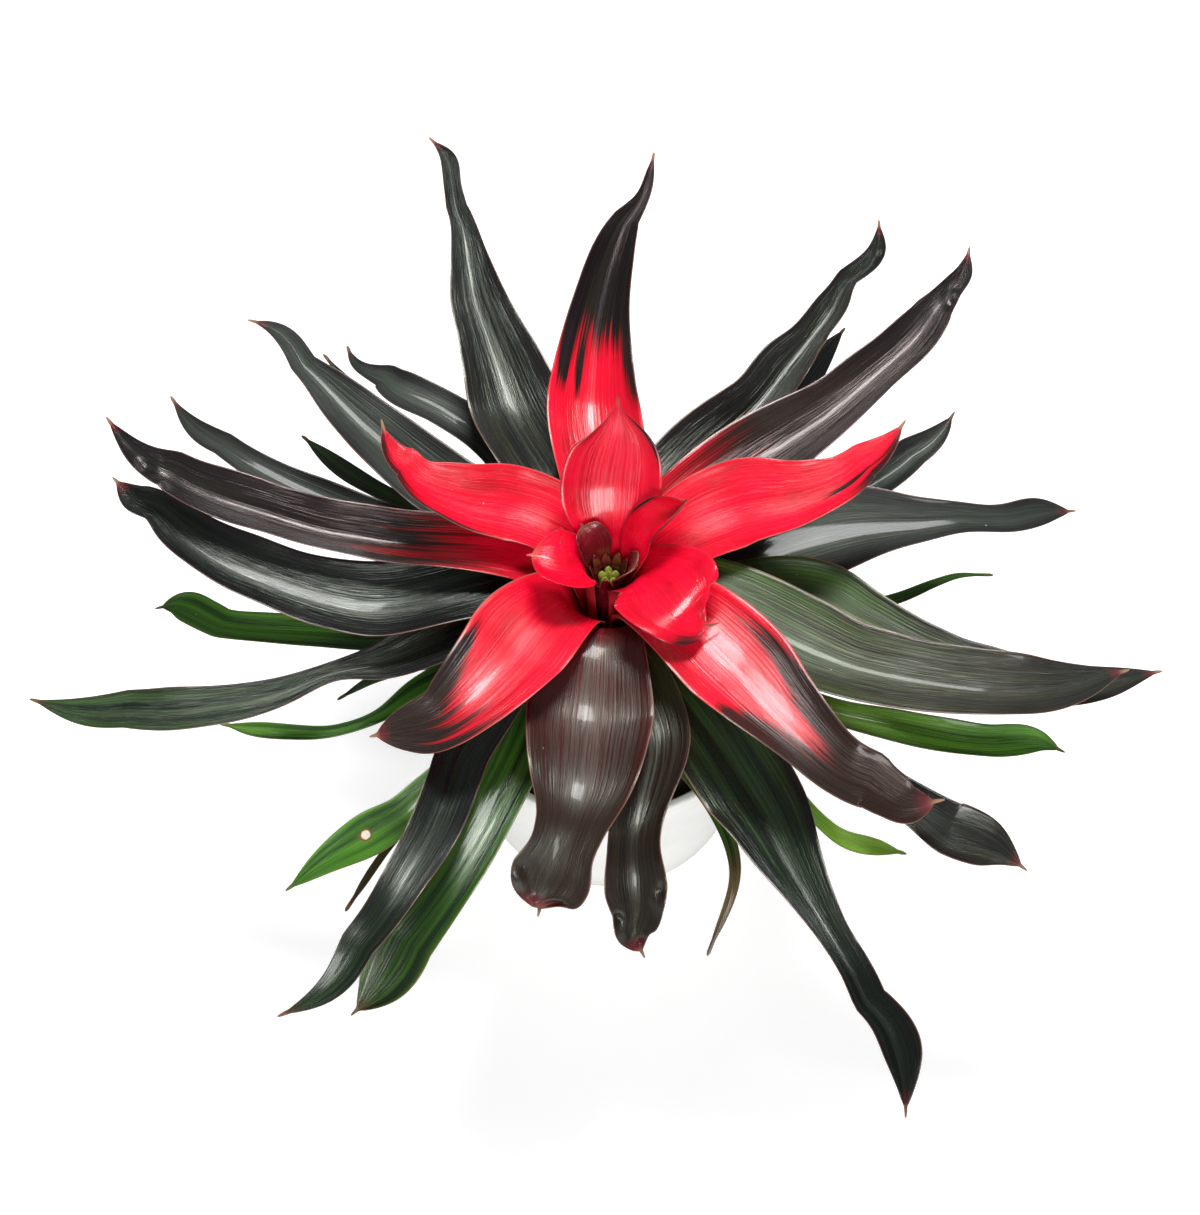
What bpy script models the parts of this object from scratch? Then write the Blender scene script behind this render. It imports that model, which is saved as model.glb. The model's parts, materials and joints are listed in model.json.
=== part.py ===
"""A neoregelia bromeliad in a plain round pot, at its real size.

Metres, +Z up. The origin is the middle of the pot's flat underside, on the surface that the pot stands on.
The plant's front is towards -Y. Lengths below are in millimetres and angles in degrees; MM turns them into metres.
"""

import math
from collections import namedtuple

import bmesh
import bpy
import numpy as np
from mathutils import Matrix, Vector

MM = 0.001
ROUND_STEPS = 48
GAP = 0.3

# Pot: a 150 mm nursery pot with a rolled rim
POT_HEIGHT = 106
POT_BASE_RADIUS = 65
POT_RIM_RADIUS = 78
POT_WALL = 2.2
POT_RIM_DEPTH = 9
POT_RIM_THICKNESS = 4

# Potting mix, with the hole that the stem stands in
SOIL_EDGE_HEIGHT = 95
SOIL_MIDDLE_HEIGHT = 97
STEM_HOLE_RADIUS = 20
STEM_FOOT_HEIGHT = 62

# Rosette: leaves of one level grow from one height of the stem, and level 0 is the innermost
LOWEST_LEVEL = 18
STEM_RADIUS = (7.0, 21.4)
STEM_HEIGHT = (147.0, 106.5)
COLLAR_LEVELS = (0, 1, 2, 3, 5, 8, 11, 14, 18)
COLLAR_RADII = (11.5, 13.3, 16, 21, 26, 32, 37, 43, 50)
COLLAR_HEIGHTS = (204, 203, 202, 190, 186, 178, 166, 150, 120)
WIDEST_SHEATH = 49

# Leaf blades
LEAF_THICKNESS = 0.7
TIP_HALF_WIDTH = 0.7
MIDDLE_SHARE = 0.35
OUTER_SHARE = 0.75
NEAR_TIP_SHARE = 0.92
LEAN_FROM = 0.8
SHEATH_ROWS = 4
BLADE_ROWS = (3, 4, 4)
ACROSS = 4
COLLAR_FOLD = 38

# Flower head in the cup: pointed bracts round a core, and buds on the core's flat top
HEAD_TOP = 184
HEAD_RADIUS = 5
BRACT_RINGS = ((7, 5.0, 176, 7.6, 197), (6, 5.0, 172, 7.3, 191))
BRACT_ROUND = 6
BUD_PLACES = ((0, 0, 9.5), (2.9, 20, 8.5), (3, 95, 9), (2.9, 165, 8), (3, 235, 8.5), (2.9, 305, 8))
BUD_RADIUS = 1.8

# level: 0 to 18. azimuth: where the tip points, anticlockwise from +X seen from above.
# reach: from the plant's axis to the tip.
# heights: of the midrib above the table at the blade's middle, at its outer part and at the tip.
# sides: how far the midrib swings to the left of the straight way to the tip, at the middle and the outer part.
# widths: half the blade's width at the collar, the middle, the outer part and near the tip.
# fold: how far each half of the blade turns up into a trough, at the middle and at the tip.
# turn: how far left of the tip's azimuth the sheath sits. twist: how far the blade has rolled at its tip, left
# edge up. blunt: a small number is a long taper. lean: how far the midrib swings to the left again near the tip.
Leaf = namedtuple(
    "Leaf",
    "name level azimuth reach heights sides widths fold turn twist blunt lean",
    defaults=((35, 40), 0, 0, 8, 0),
)

HEART_LEAVES = [
    Leaf("heart_bract_left", 0, 134, 18, (207, 209, 211), (0, 0), (9, 8, 6, 4), (35, 35)),
    Leaf("heart_bract_right", 0, 332, 14, (205, 206, 207), (0, 0), (8, 7, 5, 3), (35, 35)),
    Leaf("heart_leaf_left", 1, 186, 36, (209, 211, 211), (3, 1), (13, 15, 11, 5), (35, 50)),
    Leaf("heart_leaf_right", 1, 17, 35, (214, 223, 233), (3, 2), (12, 12, 10, 5), (50, 60)),
    Leaf("heart_leaf_back", 2, 86, 54, (217, 236, 248), (2, 0), (20, 23, 16, 6), (32, 28), 0, 0, 5),
    Leaf("heart_leaf_front", 2, 318, 58, (210, 213, 205), (0, -3), (18, 24, 19, 13), (25, 25), 0, 0, 12),
]

RED_LEAVES = [
    Leaf("red_leaf_upper_left", 3, 152, 113, (203, 218, 233), (-5, 8), (18, 19, 11, 7), (35, 45), -25, 0, 8, 4),
    Leaf("red_leaf_front_right", 3, 322, 177, (200, 200, 186), (-9, -19), (18, 23, 14, 12), (30, 35), 0, 0, 8, -5),
    Leaf("red_leaf_right", 4, 22, 140, (203, 218, 233), (3, -8), (18, 22, 12, 6), (35, 40), 6, 0, 8, -2),
    Leaf("red_leaf_front_left", 4, 218, 129, (199, 200, 186), (10, 16), (18, 22, 15, 10), (30, 30)),
    Leaf("red_leaf_back", 5, 84, 207, (200, 225, 240), (15, 12), (18, 21, 11, 4), (40, 60), 0, 0, 8, -3),
    Leaf("red_leaf_left", 6, 162, 240, (193, 203, 207), (13, 19), (16, 15, 11, 8), (35, 40), 0, 0, 8, 4),
    Leaf("red_leaf_back_right", 7, 45, 244, (193, 206, 211), (-5, -14), (19, 19, 12, 7), (40, 45), 0, 0, 8, -3),
]

DARK_LEAVES = [
    Leaf("dark_leaf_front", 5, 259, 155, (187, 190, 165), (5, 7), (19, 27, 16, 15), (28, 40)),
    Leaf("dark_leaf_right", 6, 347, 228, (192, 200, 194), (-17, -23), (20, 23, 16, 9), (30, 35)),
    Leaf("dark_leaf_front_left", 7, 236, 238, (177, 188, 169), (3, 14), (14, 12, 9, 7), (34, 40), -6, 0, 8, 4),
    Leaf("dark_leaf_left", 8, 168, 229, (184, 193, 197), (31, 22), (19, 20, 15, 8), (35, 40), 7),
    Leaf("dark_leaf_front_middle", 8, 275, 167, (181, 184, 155), (10, -2), (16, 16, 13, 12), (30, 45)),
    Leaf("dark_leaf_back", 9, 110, 260, (182, 203, 211), (10, 3), (18, 19, 8, 6), (35, 50), 0, 0, 8, -4),
    Leaf("dark_leaf_long_front_right", 10, 296, 264, (168, 177, 165), (7, 8), (18, 21, 8, 12), (22, 55), 0, 0, 8, 7),
    Leaf("dark_leaf_back_right", 10, 57, 245, (178, 192, 194), (1, -6), (17, 16, 9, 7), (45, 50), 10, 0, 8, -5),
    Leaf("dark_leaf_long_left", 10, 192, 258, (175, 178, 173), (16, 21), (16, 6, 10, 7), (35, 30), 0, 0, 8, 3),
    Leaf("dark_leaf_under_right", 11, 350, 245, (177, 185, 178), (6, -20), (18, 19, 12, 7), (30, 35)),
    Leaf("dark_leaf_upper_left", 11, 141, 220, (175, 192, 198), (4, 2), (17, 18, 10, 6), (35, 40), 0, 0, 8, -4),
    Leaf("dark_leaf_under_front_left", 11, 241, 218, (170, 170, 153), (8, 9), (16, 13, 11, 10), (35, 35), 0, 0, 14, 3),
    Leaf("dark_leaf_far_right", 12, 12, 220, (172, 178, 173), (12, 1), (18, 23, 9, 9), (25, 50)),
    Leaf("dark_leaf_thin_left", 12, 153, 232, (167, 180, 182), (9, 13), (14, 12, 8, 5), (38, 40), 0, 0, 8, 3),
    Leaf("dark_leaf_under_upper_left", 13, 131, 194, (165, 172, 169), (-12, -3), (12, 11, 9, 5), (40, 40), -15, 0, 8, 5),
    Leaf("dark_leaf_under_front_right", 13, 323, 219, (167, 170, 165), (-2, -4), (14, 14, 13, 10), (30, 30), 0, 0, 8, 3),
    Leaf("dark_leaf_under_back_right", 14, 54, 199, (162, 167, 165), (-2, -2), (12, 13, 10, 5), (40, 40)),
    Leaf("dark_leaf_low_upper_left", 14, 135, 195, (157, 168, 173), (3, 5), (11, 10, 7, 3), (40, 40)),
    Leaf("dark_leaf_low_right", 15, 32, 194, (160, 168, 173), (-4, -6), (14, 14, 12, 8), (40, 50), 0, 0, 8, -2),
]

GREEN_LEAVES = [
    Leaf("green_leaf_left", 15, 179, 208, (158, 158, 153), (14, 8), (12, 9, 9, 8), (30, 30), 0, 0, 12, -3),
    Leaf("green_leaf_front_right", 15, 319, 171, (152, 150, 140), (-9, -16), (10, 7, 5, 4), (40, 30)),
    Leaf("green_leaf_right", 16, 342, 212, (152, 155, 153), (-13, -12), (12, 9, 9, 7), (35, 35), 0, 0, 12, 0),
    Leaf("green_leaf_lower_left", 16, 197, 181, (152, 154, 149), (14, 17), (9, 5, 4, 3), (35, 35)),
    Leaf("green_leaf_upper_left", 17, 145, 181, (155, 157, 153), (4, 6), (11, 7, 5, 3), (40, 35)),
    Leaf("green_leaf_far_right", 17, 10, 184, (145, 145, 140), (-6, -5), (9, 5, 3, 2), (35, 20)),
    Leaf("green_leaf_front_left", 17, 223, 190, (147, 149, 140), (8, 7), (12, 11, 10, 6), (30, 25)),
    Leaf("green_leaf_front", 17, 286, 155, (142, 137, 115), (15, 19), (8, 5, 3, 2), (35, 30)),
    Leaf("green_leaf_small_left", 18, 194, 128, (139, 137, 132), (-3, -4), (6, 3, 3, 2), (30, 30)),
    Leaf("withered_leaf_front_left", 18, 229, 175, (140, 137, 124), (-2, -2), (5, 3, 2, 2), (30, 30)),
]


def make_material(name, colour, roughness, metallic=0.0, coat=0.0):
    """A plain finish: colour is linear red, green and blue."""
    material = bpy.data.materials.new(name)
    material.use_nodes = True
    shader = material.node_tree.nodes["Principled BSDF"]
    shader.inputs["Base Color"].default_value = (*colour, 1)
    shader.inputs["Roughness"].default_value = roughness
    shader.inputs["Metallic"].default_value = metallic
    shader.inputs["Coat Weight"].default_value = coat
    material.diffuse_color = (*colour, 1)
    return material


def make_object(name, mesh, material, collection):
    mesh.materials.append(material)
    obj = bpy.data.objects.new(name, mesh)
    collection.objects.link(obj)
    return obj


def smooth_through(knots, values, places):
    """A smooth curve through the values at the knots, read at the places: a cubic between each two knots whose
    slope at a knot is that of its neighbours."""
    values = np.asarray(values, float)
    slopes = np.gradient(values, knots, axis=0)
    index = np.clip(np.searchsorted(knots, places, side="right") - 1, 0, len(knots) - 2)
    span = (knots[index + 1] - knots[index])[:, None]
    t = ((places - knots[index]) / span[:, 0])[:, None]
    before = values[index] * (1 + 2 * t) * (1 - t) ** 2 + slopes[index] * span * t * (1 - t) ** 2
    after = values[index + 1] * (3 - 2 * t) * t**2 - slopes[index + 1] * span * (1 - t) * t**2
    return before + after


def at_level(limits, level):
    """The value at a level, on a straight line from the innermost level's to the lowest level's."""
    return limits[0] + (limits[1] - limits[0]) * level / LOWEST_LEVEL


def midrib_stations(leaf):
    """Where the midrib passes: foot on the stem, middle of the sheath, collar, and three places along the blade.
    Each is (outwards, to the left, up) from the plant's axis, in millimetres."""
    foot = np.array([at_level(STEM_RADIUS, leaf.level), 0, at_level(STEM_HEIGHT, leaf.level)])
    collar_radius = np.interp(leaf.level, COLLAR_LEVELS, COLLAR_RADII)
    collar_height = np.interp(leaf.level, COLLAR_LEVELS, COLLAR_HEIGHTS)
    collar = np.array([collar_radius, 0, collar_height])
    sheath = foot + (collar - foot) * (0.36, 0, 0.55)
    lower = np.array([foot, sheath, collar])
    lower = lower * (math.cos(math.radians(leaf.turn)), 0, 1) + lower[:, :1] * (0, math.sin(math.radians(leaf.turn)), 0)
    blade = leaf.reach - collar[0]
    middle = (collar[0] + MIDDLE_SHARE * blade, leaf.sides[0], leaf.heights[0])
    outer = (collar[0] + OUTER_SHARE * blade, leaf.sides[1], leaf.heights[1])
    tip = (leaf.reach, 0, leaf.heights[2])
    return np.vstack([lower, middle, outer, tip])


def row_places(knots):
    """Shares of the midrib's length at which the leaf has a row of points, close together towards the tip."""
    counts = (SHEATH_ROWS // 2, SHEATH_ROWS // 2, *BLADE_ROWS)
    places = [np.linspace(knots[i], knots[i + 1], count + 1)[:-1] for i, count in enumerate(counts)]
    return np.append(np.concatenate(places), 1.0)


def unit(vectors):
    return vectors / np.linalg.norm(vectors, axis=-1, keepdims=True)


def ease(values, start, end):
    """0 before start, 1 after end, and a smooth step between."""
    t = np.clip((values - start) / (end - start), 0, 1)
    return t * t * (3 - 2 * t)


def leaf_surface(leaf):
    """The leaf's upper face as a grid of points, rows from foot to tip and columns from right edge to left edge.

    The midrib is a smooth curve through its stations. In the sheath a row is an arc round the plant's axis, so that
    sheaths of different levels nest. In the blade a row is an arc round a line over the midrib, which makes the
    trough, with a half angle that is the leaf's fold. Between the collar and the blade's middle the two blend.
    """
    stations = midrib_stations(leaf)
    steps = np.linalg.norm(np.diff(stations, axis=0), axis=1)
    knots = np.concatenate([[0], np.cumsum(steps)]) / steps.sum()
    places = row_places(knots)
    local = smooth_through(knots, stations, places)
    along_blade = np.clip((places - knots[2]) / (1 - knots[2]), 0, 1)
    local[:, 1] += leaf.lean * np.sin(math.pi * np.clip((along_blade - LEAN_FROM) / (1 - LEAN_FROM), 0, 1))
    turn = math.radians(leaf.azimuth)
    outwards = np.array([math.cos(turn), math.sin(turn), 0])
    leftwards = np.array([-math.sin(turn), math.cos(turn), 0])
    midrib = local[:, :1] * outwards + local[:, 1:2] * leftwards + local[:, 2:] * np.array([0, 0, 1])

    collar_width, middle_width, outer_width, near_tip_width = leaf.widths
    near_tip = knots[2] + NEAR_TIP_SHARE * (1 - knots[2])
    width_knots = np.array([0, knots[2], knots[3], knots[4], near_tip, 1])
    width_values = np.array([[collar_width, collar_width, middle_width, outer_width, near_tip_width, 0.4 * near_tip_width]])
    half = smooth_through(width_knots, width_values.T, places)[:, 0]
    half = np.maximum(half * np.sqrt(1 - along_blade**leaf.blunt), TIP_HALF_WIDTH)

    fold = np.radians(np.interp(places, knots[2:], (COLLAR_FOLD, leaf.fold[0], leaf.fold[1], leaf.fold[1])))[:, None]
    twist = np.radians(leaf.twist) * ease(places, knots[3], 1)[:, None]
    along = unit(np.gradient(midrib, places, axis=0))
    left = unit(leftwards - (along @ leftwards)[:, None] * along)
    up = np.cross(along, left)
    left, up = np.cos(twist) * left + np.sin(twist) * up, np.cos(twist) * up - np.sin(twist) * left

    across = np.linspace(-1, 1, ACROSS + 1)
    bend = half[:, None] / fold
    sideways = bend * np.sin(fold * across)
    lift = bend * (1 - np.cos(fold * across))
    blade = midrib[:, None] + sideways[..., None] * left[:, None] + lift[..., None] * up[:, None]

    radius = np.hypot(midrib[:, 0], midrib[:, 1])
    wrap = np.minimum(half / radius, math.radians(WIDEST_SHEATH))[:, None] * across
    angle = np.arctan2(midrib[:, 1], midrib[:, 0])[:, None] + wrap
    height = np.broadcast_to(midrib[:, 2:], angle.shape)
    sheath = np.stack([radius[:, None] * np.cos(angle), radius[:, None] * np.sin(angle), height], axis=-1)

    share = ease(places, 0.8 * knots[2], 0.3 * knots[2] + 0.7 * knots[3])[:, None, None]
    return sheath + (blade - sheath) * share


def make_leaf(leaf, material, collection):
    """The surface split into triangles and given its thickness on the underside, so both faces have one pattern."""
    surface = leaf_surface(leaf)
    rows, columns = surface.shape[:2]
    number = np.arange(rows * columns).reshape(rows, columns)
    near_right, near_left = number[:-1, :-1], number[:-1, 1:]
    far_right, far_left = number[1:, :-1], number[1:, 1:]
    first = np.stack([near_right, far_right, far_left], axis=-1)
    second = np.stack([near_right, far_left, near_left], axis=-1)
    faces = np.concatenate([first.reshape(-1, 3), second.reshape(-1, 3)])
    mesh = bpy.data.meshes.new(leaf.name)
    mesh.from_pydata((surface.reshape(-1, 3) * MM).tolist(), [], faces.tolist())
    mesh.shade_smooth()
    obj = make_object(leaf.name, mesh, material, collection)
    wall = obj.modifiers.new("thickness", "SOLIDIFY")
    wall.thickness = LEAF_THICKNESS * MM
    wall.offset = -1
    return obj


def turned(name, profile, material, collection):
    """A profile of (radius, height) points turned about the Z axis. It runs down the outer side."""
    mesh = bpy.data.meshes.new(name)
    points = [(radius * MM, 0, height * MM) for radius, height in profile]
    edges = [(i, i + 1) for i in range(len(points) - 1)]
    mesh.from_pydata(points, edges, [])
    obj = make_object(name, mesh, material, collection)
    screw = obj.modifiers.new("turn", "SCREW")
    screw.axis = "Z"
    screw.steps = ROUND_STEPS
    screw.render_steps = ROUND_STEPS
    screw.use_merge_vertices = True
    screw.merge_threshold = 0.00001
    return obj


def pot_wall_radius(height):
    """The pot's outer radius at a height: a straight taper."""
    return POT_BASE_RADIUS + (POT_RIM_RADIUS - POT_RIM_THICKNESS + POT_WALL - POT_BASE_RADIUS) * height / POT_HEIGHT


def make_pot(material, collection):
    inner_top = POT_RIM_RADIUS - POT_RIM_THICKNESS
    rim_bottom = POT_HEIGHT - POT_RIM_DEPTH
    profile = [
        (0, POT_WALL),
        (POT_BASE_RADIUS - POT_WALL, POT_WALL),
        (inner_top, POT_HEIGHT - 1),
        (inner_top + 1, POT_HEIGHT),
        (POT_RIM_RADIUS - 1, POT_HEIGHT),
        (POT_RIM_RADIUS, POT_HEIGHT - 1),
        (POT_RIM_RADIUS - 0.5, rim_bottom + 1),
        (POT_RIM_RADIUS - 1.5, rim_bottom),
        (pot_wall_radius(rim_bottom), rim_bottom),
        (pot_wall_radius(3), 3),
        (POT_BASE_RADIUS - 1, 0),
        (0, 0),
    ]
    return turned("pot", profile, material, collection)


def make_soil(material, collection):
    """The mix fills the pot up to its own level, clear of the wall by the gap."""
    foot = POT_WALL + GAP
    wall_slope = (POT_RIM_RADIUS - POT_RIM_THICKNESS - POT_BASE_RADIUS + POT_WALL) / (POT_HEIGHT - 1 - POT_WALL)
    inner_radius = POT_BASE_RADIUS - POT_WALL - 2 * GAP
    edge_radius = inner_radius + wall_slope * (SOIL_EDGE_HEIGHT - POT_WALL)
    profile = [
        (0, STEM_FOOT_HEIGHT - GAP),
        (STEM_HOLE_RADIUS, STEM_FOOT_HEIGHT - GAP),
        (STEM_HOLE_RADIUS, SOIL_MIDDLE_HEIGHT),
        (0.5 * edge_radius, SOIL_MIDDLE_HEIGHT + 1),
        (0.85 * edge_radius, SOIL_MIDDLE_HEIGHT - 0.5),
        (edge_radius, SOIL_EDGE_HEIGHT),
        (inner_radius, foot),
        (0, foot),
    ]
    return turned("soil", profile, material, collection)


def make_stem(material, collection):
    """The short stem: as wide as the lowest leaves' feet at its bottom, and narrow under the flower head."""
    clear = 2 * GAP
    profile = [
        (0, STEM_HEIGHT[0]),
        (STEM_RADIUS[0] - clear - 1, STEM_HEIGHT[0]),
        (STEM_RADIUS[0] - clear, STEM_HEIGHT[0] - 2),
        (STEM_HOLE_RADIUS - clear - 1, STEM_HEIGHT[1] - 2),
        (STEM_HOLE_RADIUS - clear, STEM_HEIGHT[1] - 8),
        (STEM_HOLE_RADIUS - clear - 3, STEM_FOOT_HEIGHT),
        (0, STEM_FOOT_HEIGHT),
    ]
    return turned("stem", profile, material, collection)


def join(target, others, collection):
    """One body from several that overlap: a Boolean union, applied, with the others removed."""
    helpers = bpy.data.collections.new(target.name + "_pieces")
    bpy.context.scene.collection.children.link(helpers)
    for other in others:
        collection.objects.unlink(other)
        helpers.objects.link(other)
    union = target.modifiers.new("join", "BOOLEAN")
    union.operation = "UNION"
    union.operand_type = "COLLECTION"
    union.collection = helpers
    union.solver = "EXACT"
    bpy.context.view_layer.update()
    graph = bpy.context.evaluated_depsgraph_get()
    mesh = bpy.data.meshes.new_from_object(target.evaluated_get(graph))
    target.modifiers.clear()
    target.data = mesh
    for other in others:
        bpy.data.objects.remove(other, do_unlink=True)
    bpy.data.collections.remove(helpers)
    return target


def make_bract(name, azimuth, foot, tip, material, collection):
    """A pointed bract: flat ovals along a line that leans outwards, from its foot to its tip. Both ends are
    (radius, height)."""
    share = np.array([0, 0.3, 0.65, 1])[:, None]
    half_width = np.array([2.6, 3.1, 2.0, 0.35])[:, None]
    half_depth = np.array([1.0, 1.0, 0.8, 0.35])[:, None]
    angle = np.linspace(0, 2 * math.pi, BRACT_ROUND, endpoint=False)
    outwards = foot[0] + (tip[0] - foot[0]) * share**1.3 + half_depth * np.cos(angle)
    leftwards = half_width * np.sin(angle)
    height = foot[1] + (tip[1] - foot[1]) * share - 0.3 * half_depth * np.cos(angle)
    turn = math.radians(azimuth)
    x = outwards * math.cos(turn) - leftwards * math.sin(turn)
    y = outwards * math.sin(turn) + leftwards * math.cos(turn)
    points = np.stack([x, y, height], axis=-1).reshape(-1, 3)
    rows = len(share)
    number = np.arange(rows * BRACT_ROUND).reshape(rows, BRACT_ROUND)
    after = np.roll(number, -1, axis=1)
    walls = np.stack([number[:-1], after[:-1], after[1:], number[1:]], axis=-1).reshape(-1, 4).tolist()
    mesh = bpy.data.meshes.new(name)
    mesh.from_pydata((points * MM).tolist(), [], [*walls, number[0, ::-1].tolist(), number[-1].tolist()])
    return make_object(name, mesh, material, collection)


def make_flower_bracts(material, collection):
    """A core that stands on the stem's top, with two rings of bracts fused to it."""
    profile = [
        (0, HEAD_TOP),
        (HEAD_RADIUS, HEAD_TOP),
        (HEAD_RADIUS + 0.8, HEAD_TOP - 2),
        (HEAD_RADIUS + 1.6, HEAD_TOP - 8),
        (HEAD_RADIUS + 1.3, HEAD_TOP - 20),
        (HEAD_RADIUS + 1, STEM_HEIGHT[0] + GAP),
        (0, STEM_HEIGHT[0] + GAP),
    ]
    core = turned("flower_bracts", profile, material, collection)
    core.modifiers["turn"].steps = 20
    core.modifiers["turn"].render_steps = 20
    bracts = []
    for count, foot_radius, foot_height, tip_radius, tip_height in BRACT_RINGS:
        for i in range(count):
            azimuth = 360 * (i + 0.5 * (count % 2)) / count
            foot = (foot_radius, foot_height)
            tip = (tip_radius, tip_height - 2 * (i % 3))
            bracts.append(make_bract(f"bract_{len(bracts)}", azimuth, foot, tip, material, collection))
    return join(core, bracts, collection)


def make_flower_buds(material, collection):
    """A thin disc on the core's top with pointed oval buds standing on it."""
    foot = HEAD_TOP + GAP
    profile = [
        (0, foot + 1.5),
        (HEAD_RADIUS - 1.5, foot + 1.5),
        (HEAD_RADIUS - 0.6, foot + 0.8),
        (HEAD_RADIUS - 0.6, foot),
        (0, foot),
    ]
    disc = turned("flower_buds", profile, material, collection)
    disc.modifiers["turn"].steps = 20
    disc.modifiers["turn"].render_steps = 20
    buds = []
    for radius, azimuth, height in BUD_PLACES:
        turn = math.radians(azimuth)
        place = Vector((radius * math.cos(turn), radius * math.sin(turn), foot + 0.5 + height / 2)) * MM
        size = Vector((BUD_RADIUS, BUD_RADIUS, height / 2)) * MM
        grid = bmesh.new()
        matrix = Matrix.LocRotScale(place, None, size)
        bmesh.ops.create_uvsphere(grid, u_segments=8, v_segments=6, radius=1, matrix=matrix)
        mesh = bpy.data.meshes.new("bud")
        grid.to_mesh(mesh)
        grid.free()
        buds.append(make_object(f"bud_{len(buds)}", mesh, material, collection))
    return join(disc, buds, collection)


def build():
    for obj in list(bpy.data.objects):
        bpy.data.objects.remove(obj, do_unlink=True)
    plant = bpy.data.collections.new("neoregelia_bromeliad")
    bpy.context.scene.collection.children.link(plant)
    red = make_material("heart_leaf_red", (0.75, 0.01, 0.03), 0.3, coat=0.4)
    part_red = make_material("leaf_red_and_black", (0.35, 0.01, 0.02), 0.3, coat=0.4)
    dark = make_material("leaf_charcoal", (0.02, 0.022, 0.02), 0.3, coat=0.5)
    green = make_material("leaf_green", (0.03, 0.13, 0.02), 0.35, coat=0.3)
    make_pot(make_material("pot_white", (0.8, 0.8, 0.78), 0.4), plant)
    make_soil(make_material("potting_mix", (0.012, 0.01, 0.009), 0.95), plant)
    make_stem(make_material("stem_brown", (0.12, 0.08, 0.04), 0.7), plant)
    make_flower_bracts(make_material("bract_maroon", (0.12, 0.008, 0.015), 0.3, coat=0.5), plant)
    make_flower_buds(make_material("bud_yellow_green", (0.35, 0.4, 0.05), 0.4), plant)
    for leaves, material in (
        (HEART_LEAVES, red),
        (RED_LEAVES, part_red),
        (DARK_LEAVES, dark),
        (GREEN_LEAVES, green),
    ):
        for leaf in leaves:
            make_leaf(leaf, material, plant)


build()
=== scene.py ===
# %% [markdown]
# # A neoregelia bromeliad in its pot
# A neoregelia is a rosette: forty or so strap leaves grow from one short stem, each leaf wraps the
# younger ones with its broad foot, and the feet together hold a cup of water. This lesson builds every
# leaf as one formula on a grid, and gets its stiff gloss, its veins and its red heart from materials.
# The plain solids that give the plant its real size come from the frame, and every new piece is made
# exactly where one of those solids stands.

import json
import math
from collections import namedtuple

import bpy
import numpy as np
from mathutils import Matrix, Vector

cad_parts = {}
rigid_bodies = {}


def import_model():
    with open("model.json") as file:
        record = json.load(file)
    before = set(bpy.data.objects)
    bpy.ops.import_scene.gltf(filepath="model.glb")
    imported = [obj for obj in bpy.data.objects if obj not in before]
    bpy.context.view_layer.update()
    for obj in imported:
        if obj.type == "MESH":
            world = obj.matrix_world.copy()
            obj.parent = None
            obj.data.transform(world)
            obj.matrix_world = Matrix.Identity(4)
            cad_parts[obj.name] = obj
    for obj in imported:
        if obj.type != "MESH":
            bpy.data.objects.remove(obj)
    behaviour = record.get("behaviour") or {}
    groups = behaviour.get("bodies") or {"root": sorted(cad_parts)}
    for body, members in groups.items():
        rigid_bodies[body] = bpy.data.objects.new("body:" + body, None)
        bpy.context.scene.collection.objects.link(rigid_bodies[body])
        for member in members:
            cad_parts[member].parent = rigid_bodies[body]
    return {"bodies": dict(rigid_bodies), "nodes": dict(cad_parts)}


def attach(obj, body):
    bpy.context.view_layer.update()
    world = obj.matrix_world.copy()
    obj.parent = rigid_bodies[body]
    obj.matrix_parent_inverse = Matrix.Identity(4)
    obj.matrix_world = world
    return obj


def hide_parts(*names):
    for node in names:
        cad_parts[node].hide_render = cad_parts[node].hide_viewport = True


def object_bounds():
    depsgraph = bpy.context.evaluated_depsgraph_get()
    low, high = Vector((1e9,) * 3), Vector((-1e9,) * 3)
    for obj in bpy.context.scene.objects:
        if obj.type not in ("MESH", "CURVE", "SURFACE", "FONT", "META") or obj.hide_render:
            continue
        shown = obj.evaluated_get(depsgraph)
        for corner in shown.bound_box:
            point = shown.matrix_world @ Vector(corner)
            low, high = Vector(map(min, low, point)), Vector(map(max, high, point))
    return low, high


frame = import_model()
CAD_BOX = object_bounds()
MM = 0.001
ROOT = next(iter(frame["bodies"]))
lowest, highest = np.round(CAD_BOX, 3).tolist()
print(len(frame["nodes"]), "solids in the frame, in a box from", lowest, "to", highest)

# %% [markdown]
# ## The camera
# The plant is seen from in front and from well above, about 58 degrees down, from a little under a
# metre away. A camera at that distance makes the upper leaves larger than the lower ones, which a
# longer lens further off would lose, so the distance matters as much as the angle.

# %% Camera
LENS = 61.5
SENSOR = 36
CAMERA_PLACE = (-0.00396, -0.49855, 0.96006)
CAMERA_TILT = 32  # degrees up from straight down

camera_data = bpy.data.cameras.new("camera")
camera_data.lens = LENS
camera_data.sensor_width = SENSOR
camera_data.sensor_fit = "AUTO"
camera_data.clip_start = 0.01
camera = bpy.data.objects.new("camera", camera_data)
bpy.context.scene.collection.objects.link(camera)
camera.location = CAMERA_PLACE
camera.rotation_euler = (math.radians(CAMERA_TILT), 0, 0)
bpy.context.scene.camera = camera
print("camera at", tuple(round(x, 3) for x in camera.location))

# %% [markdown]
# ## The leaves, one entry each
# A leaf could be traced by hand, or drawn once and copied. Here each one is an entry of real sizes: where
# its tip points, how far it reaches, how high it passes, how wide it is and how deep its trough is. A
# level says how far down the stem it grows, and so which leaves its foot wraps. Heights and lengths are
# in millimetres, angles in degrees.

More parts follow.
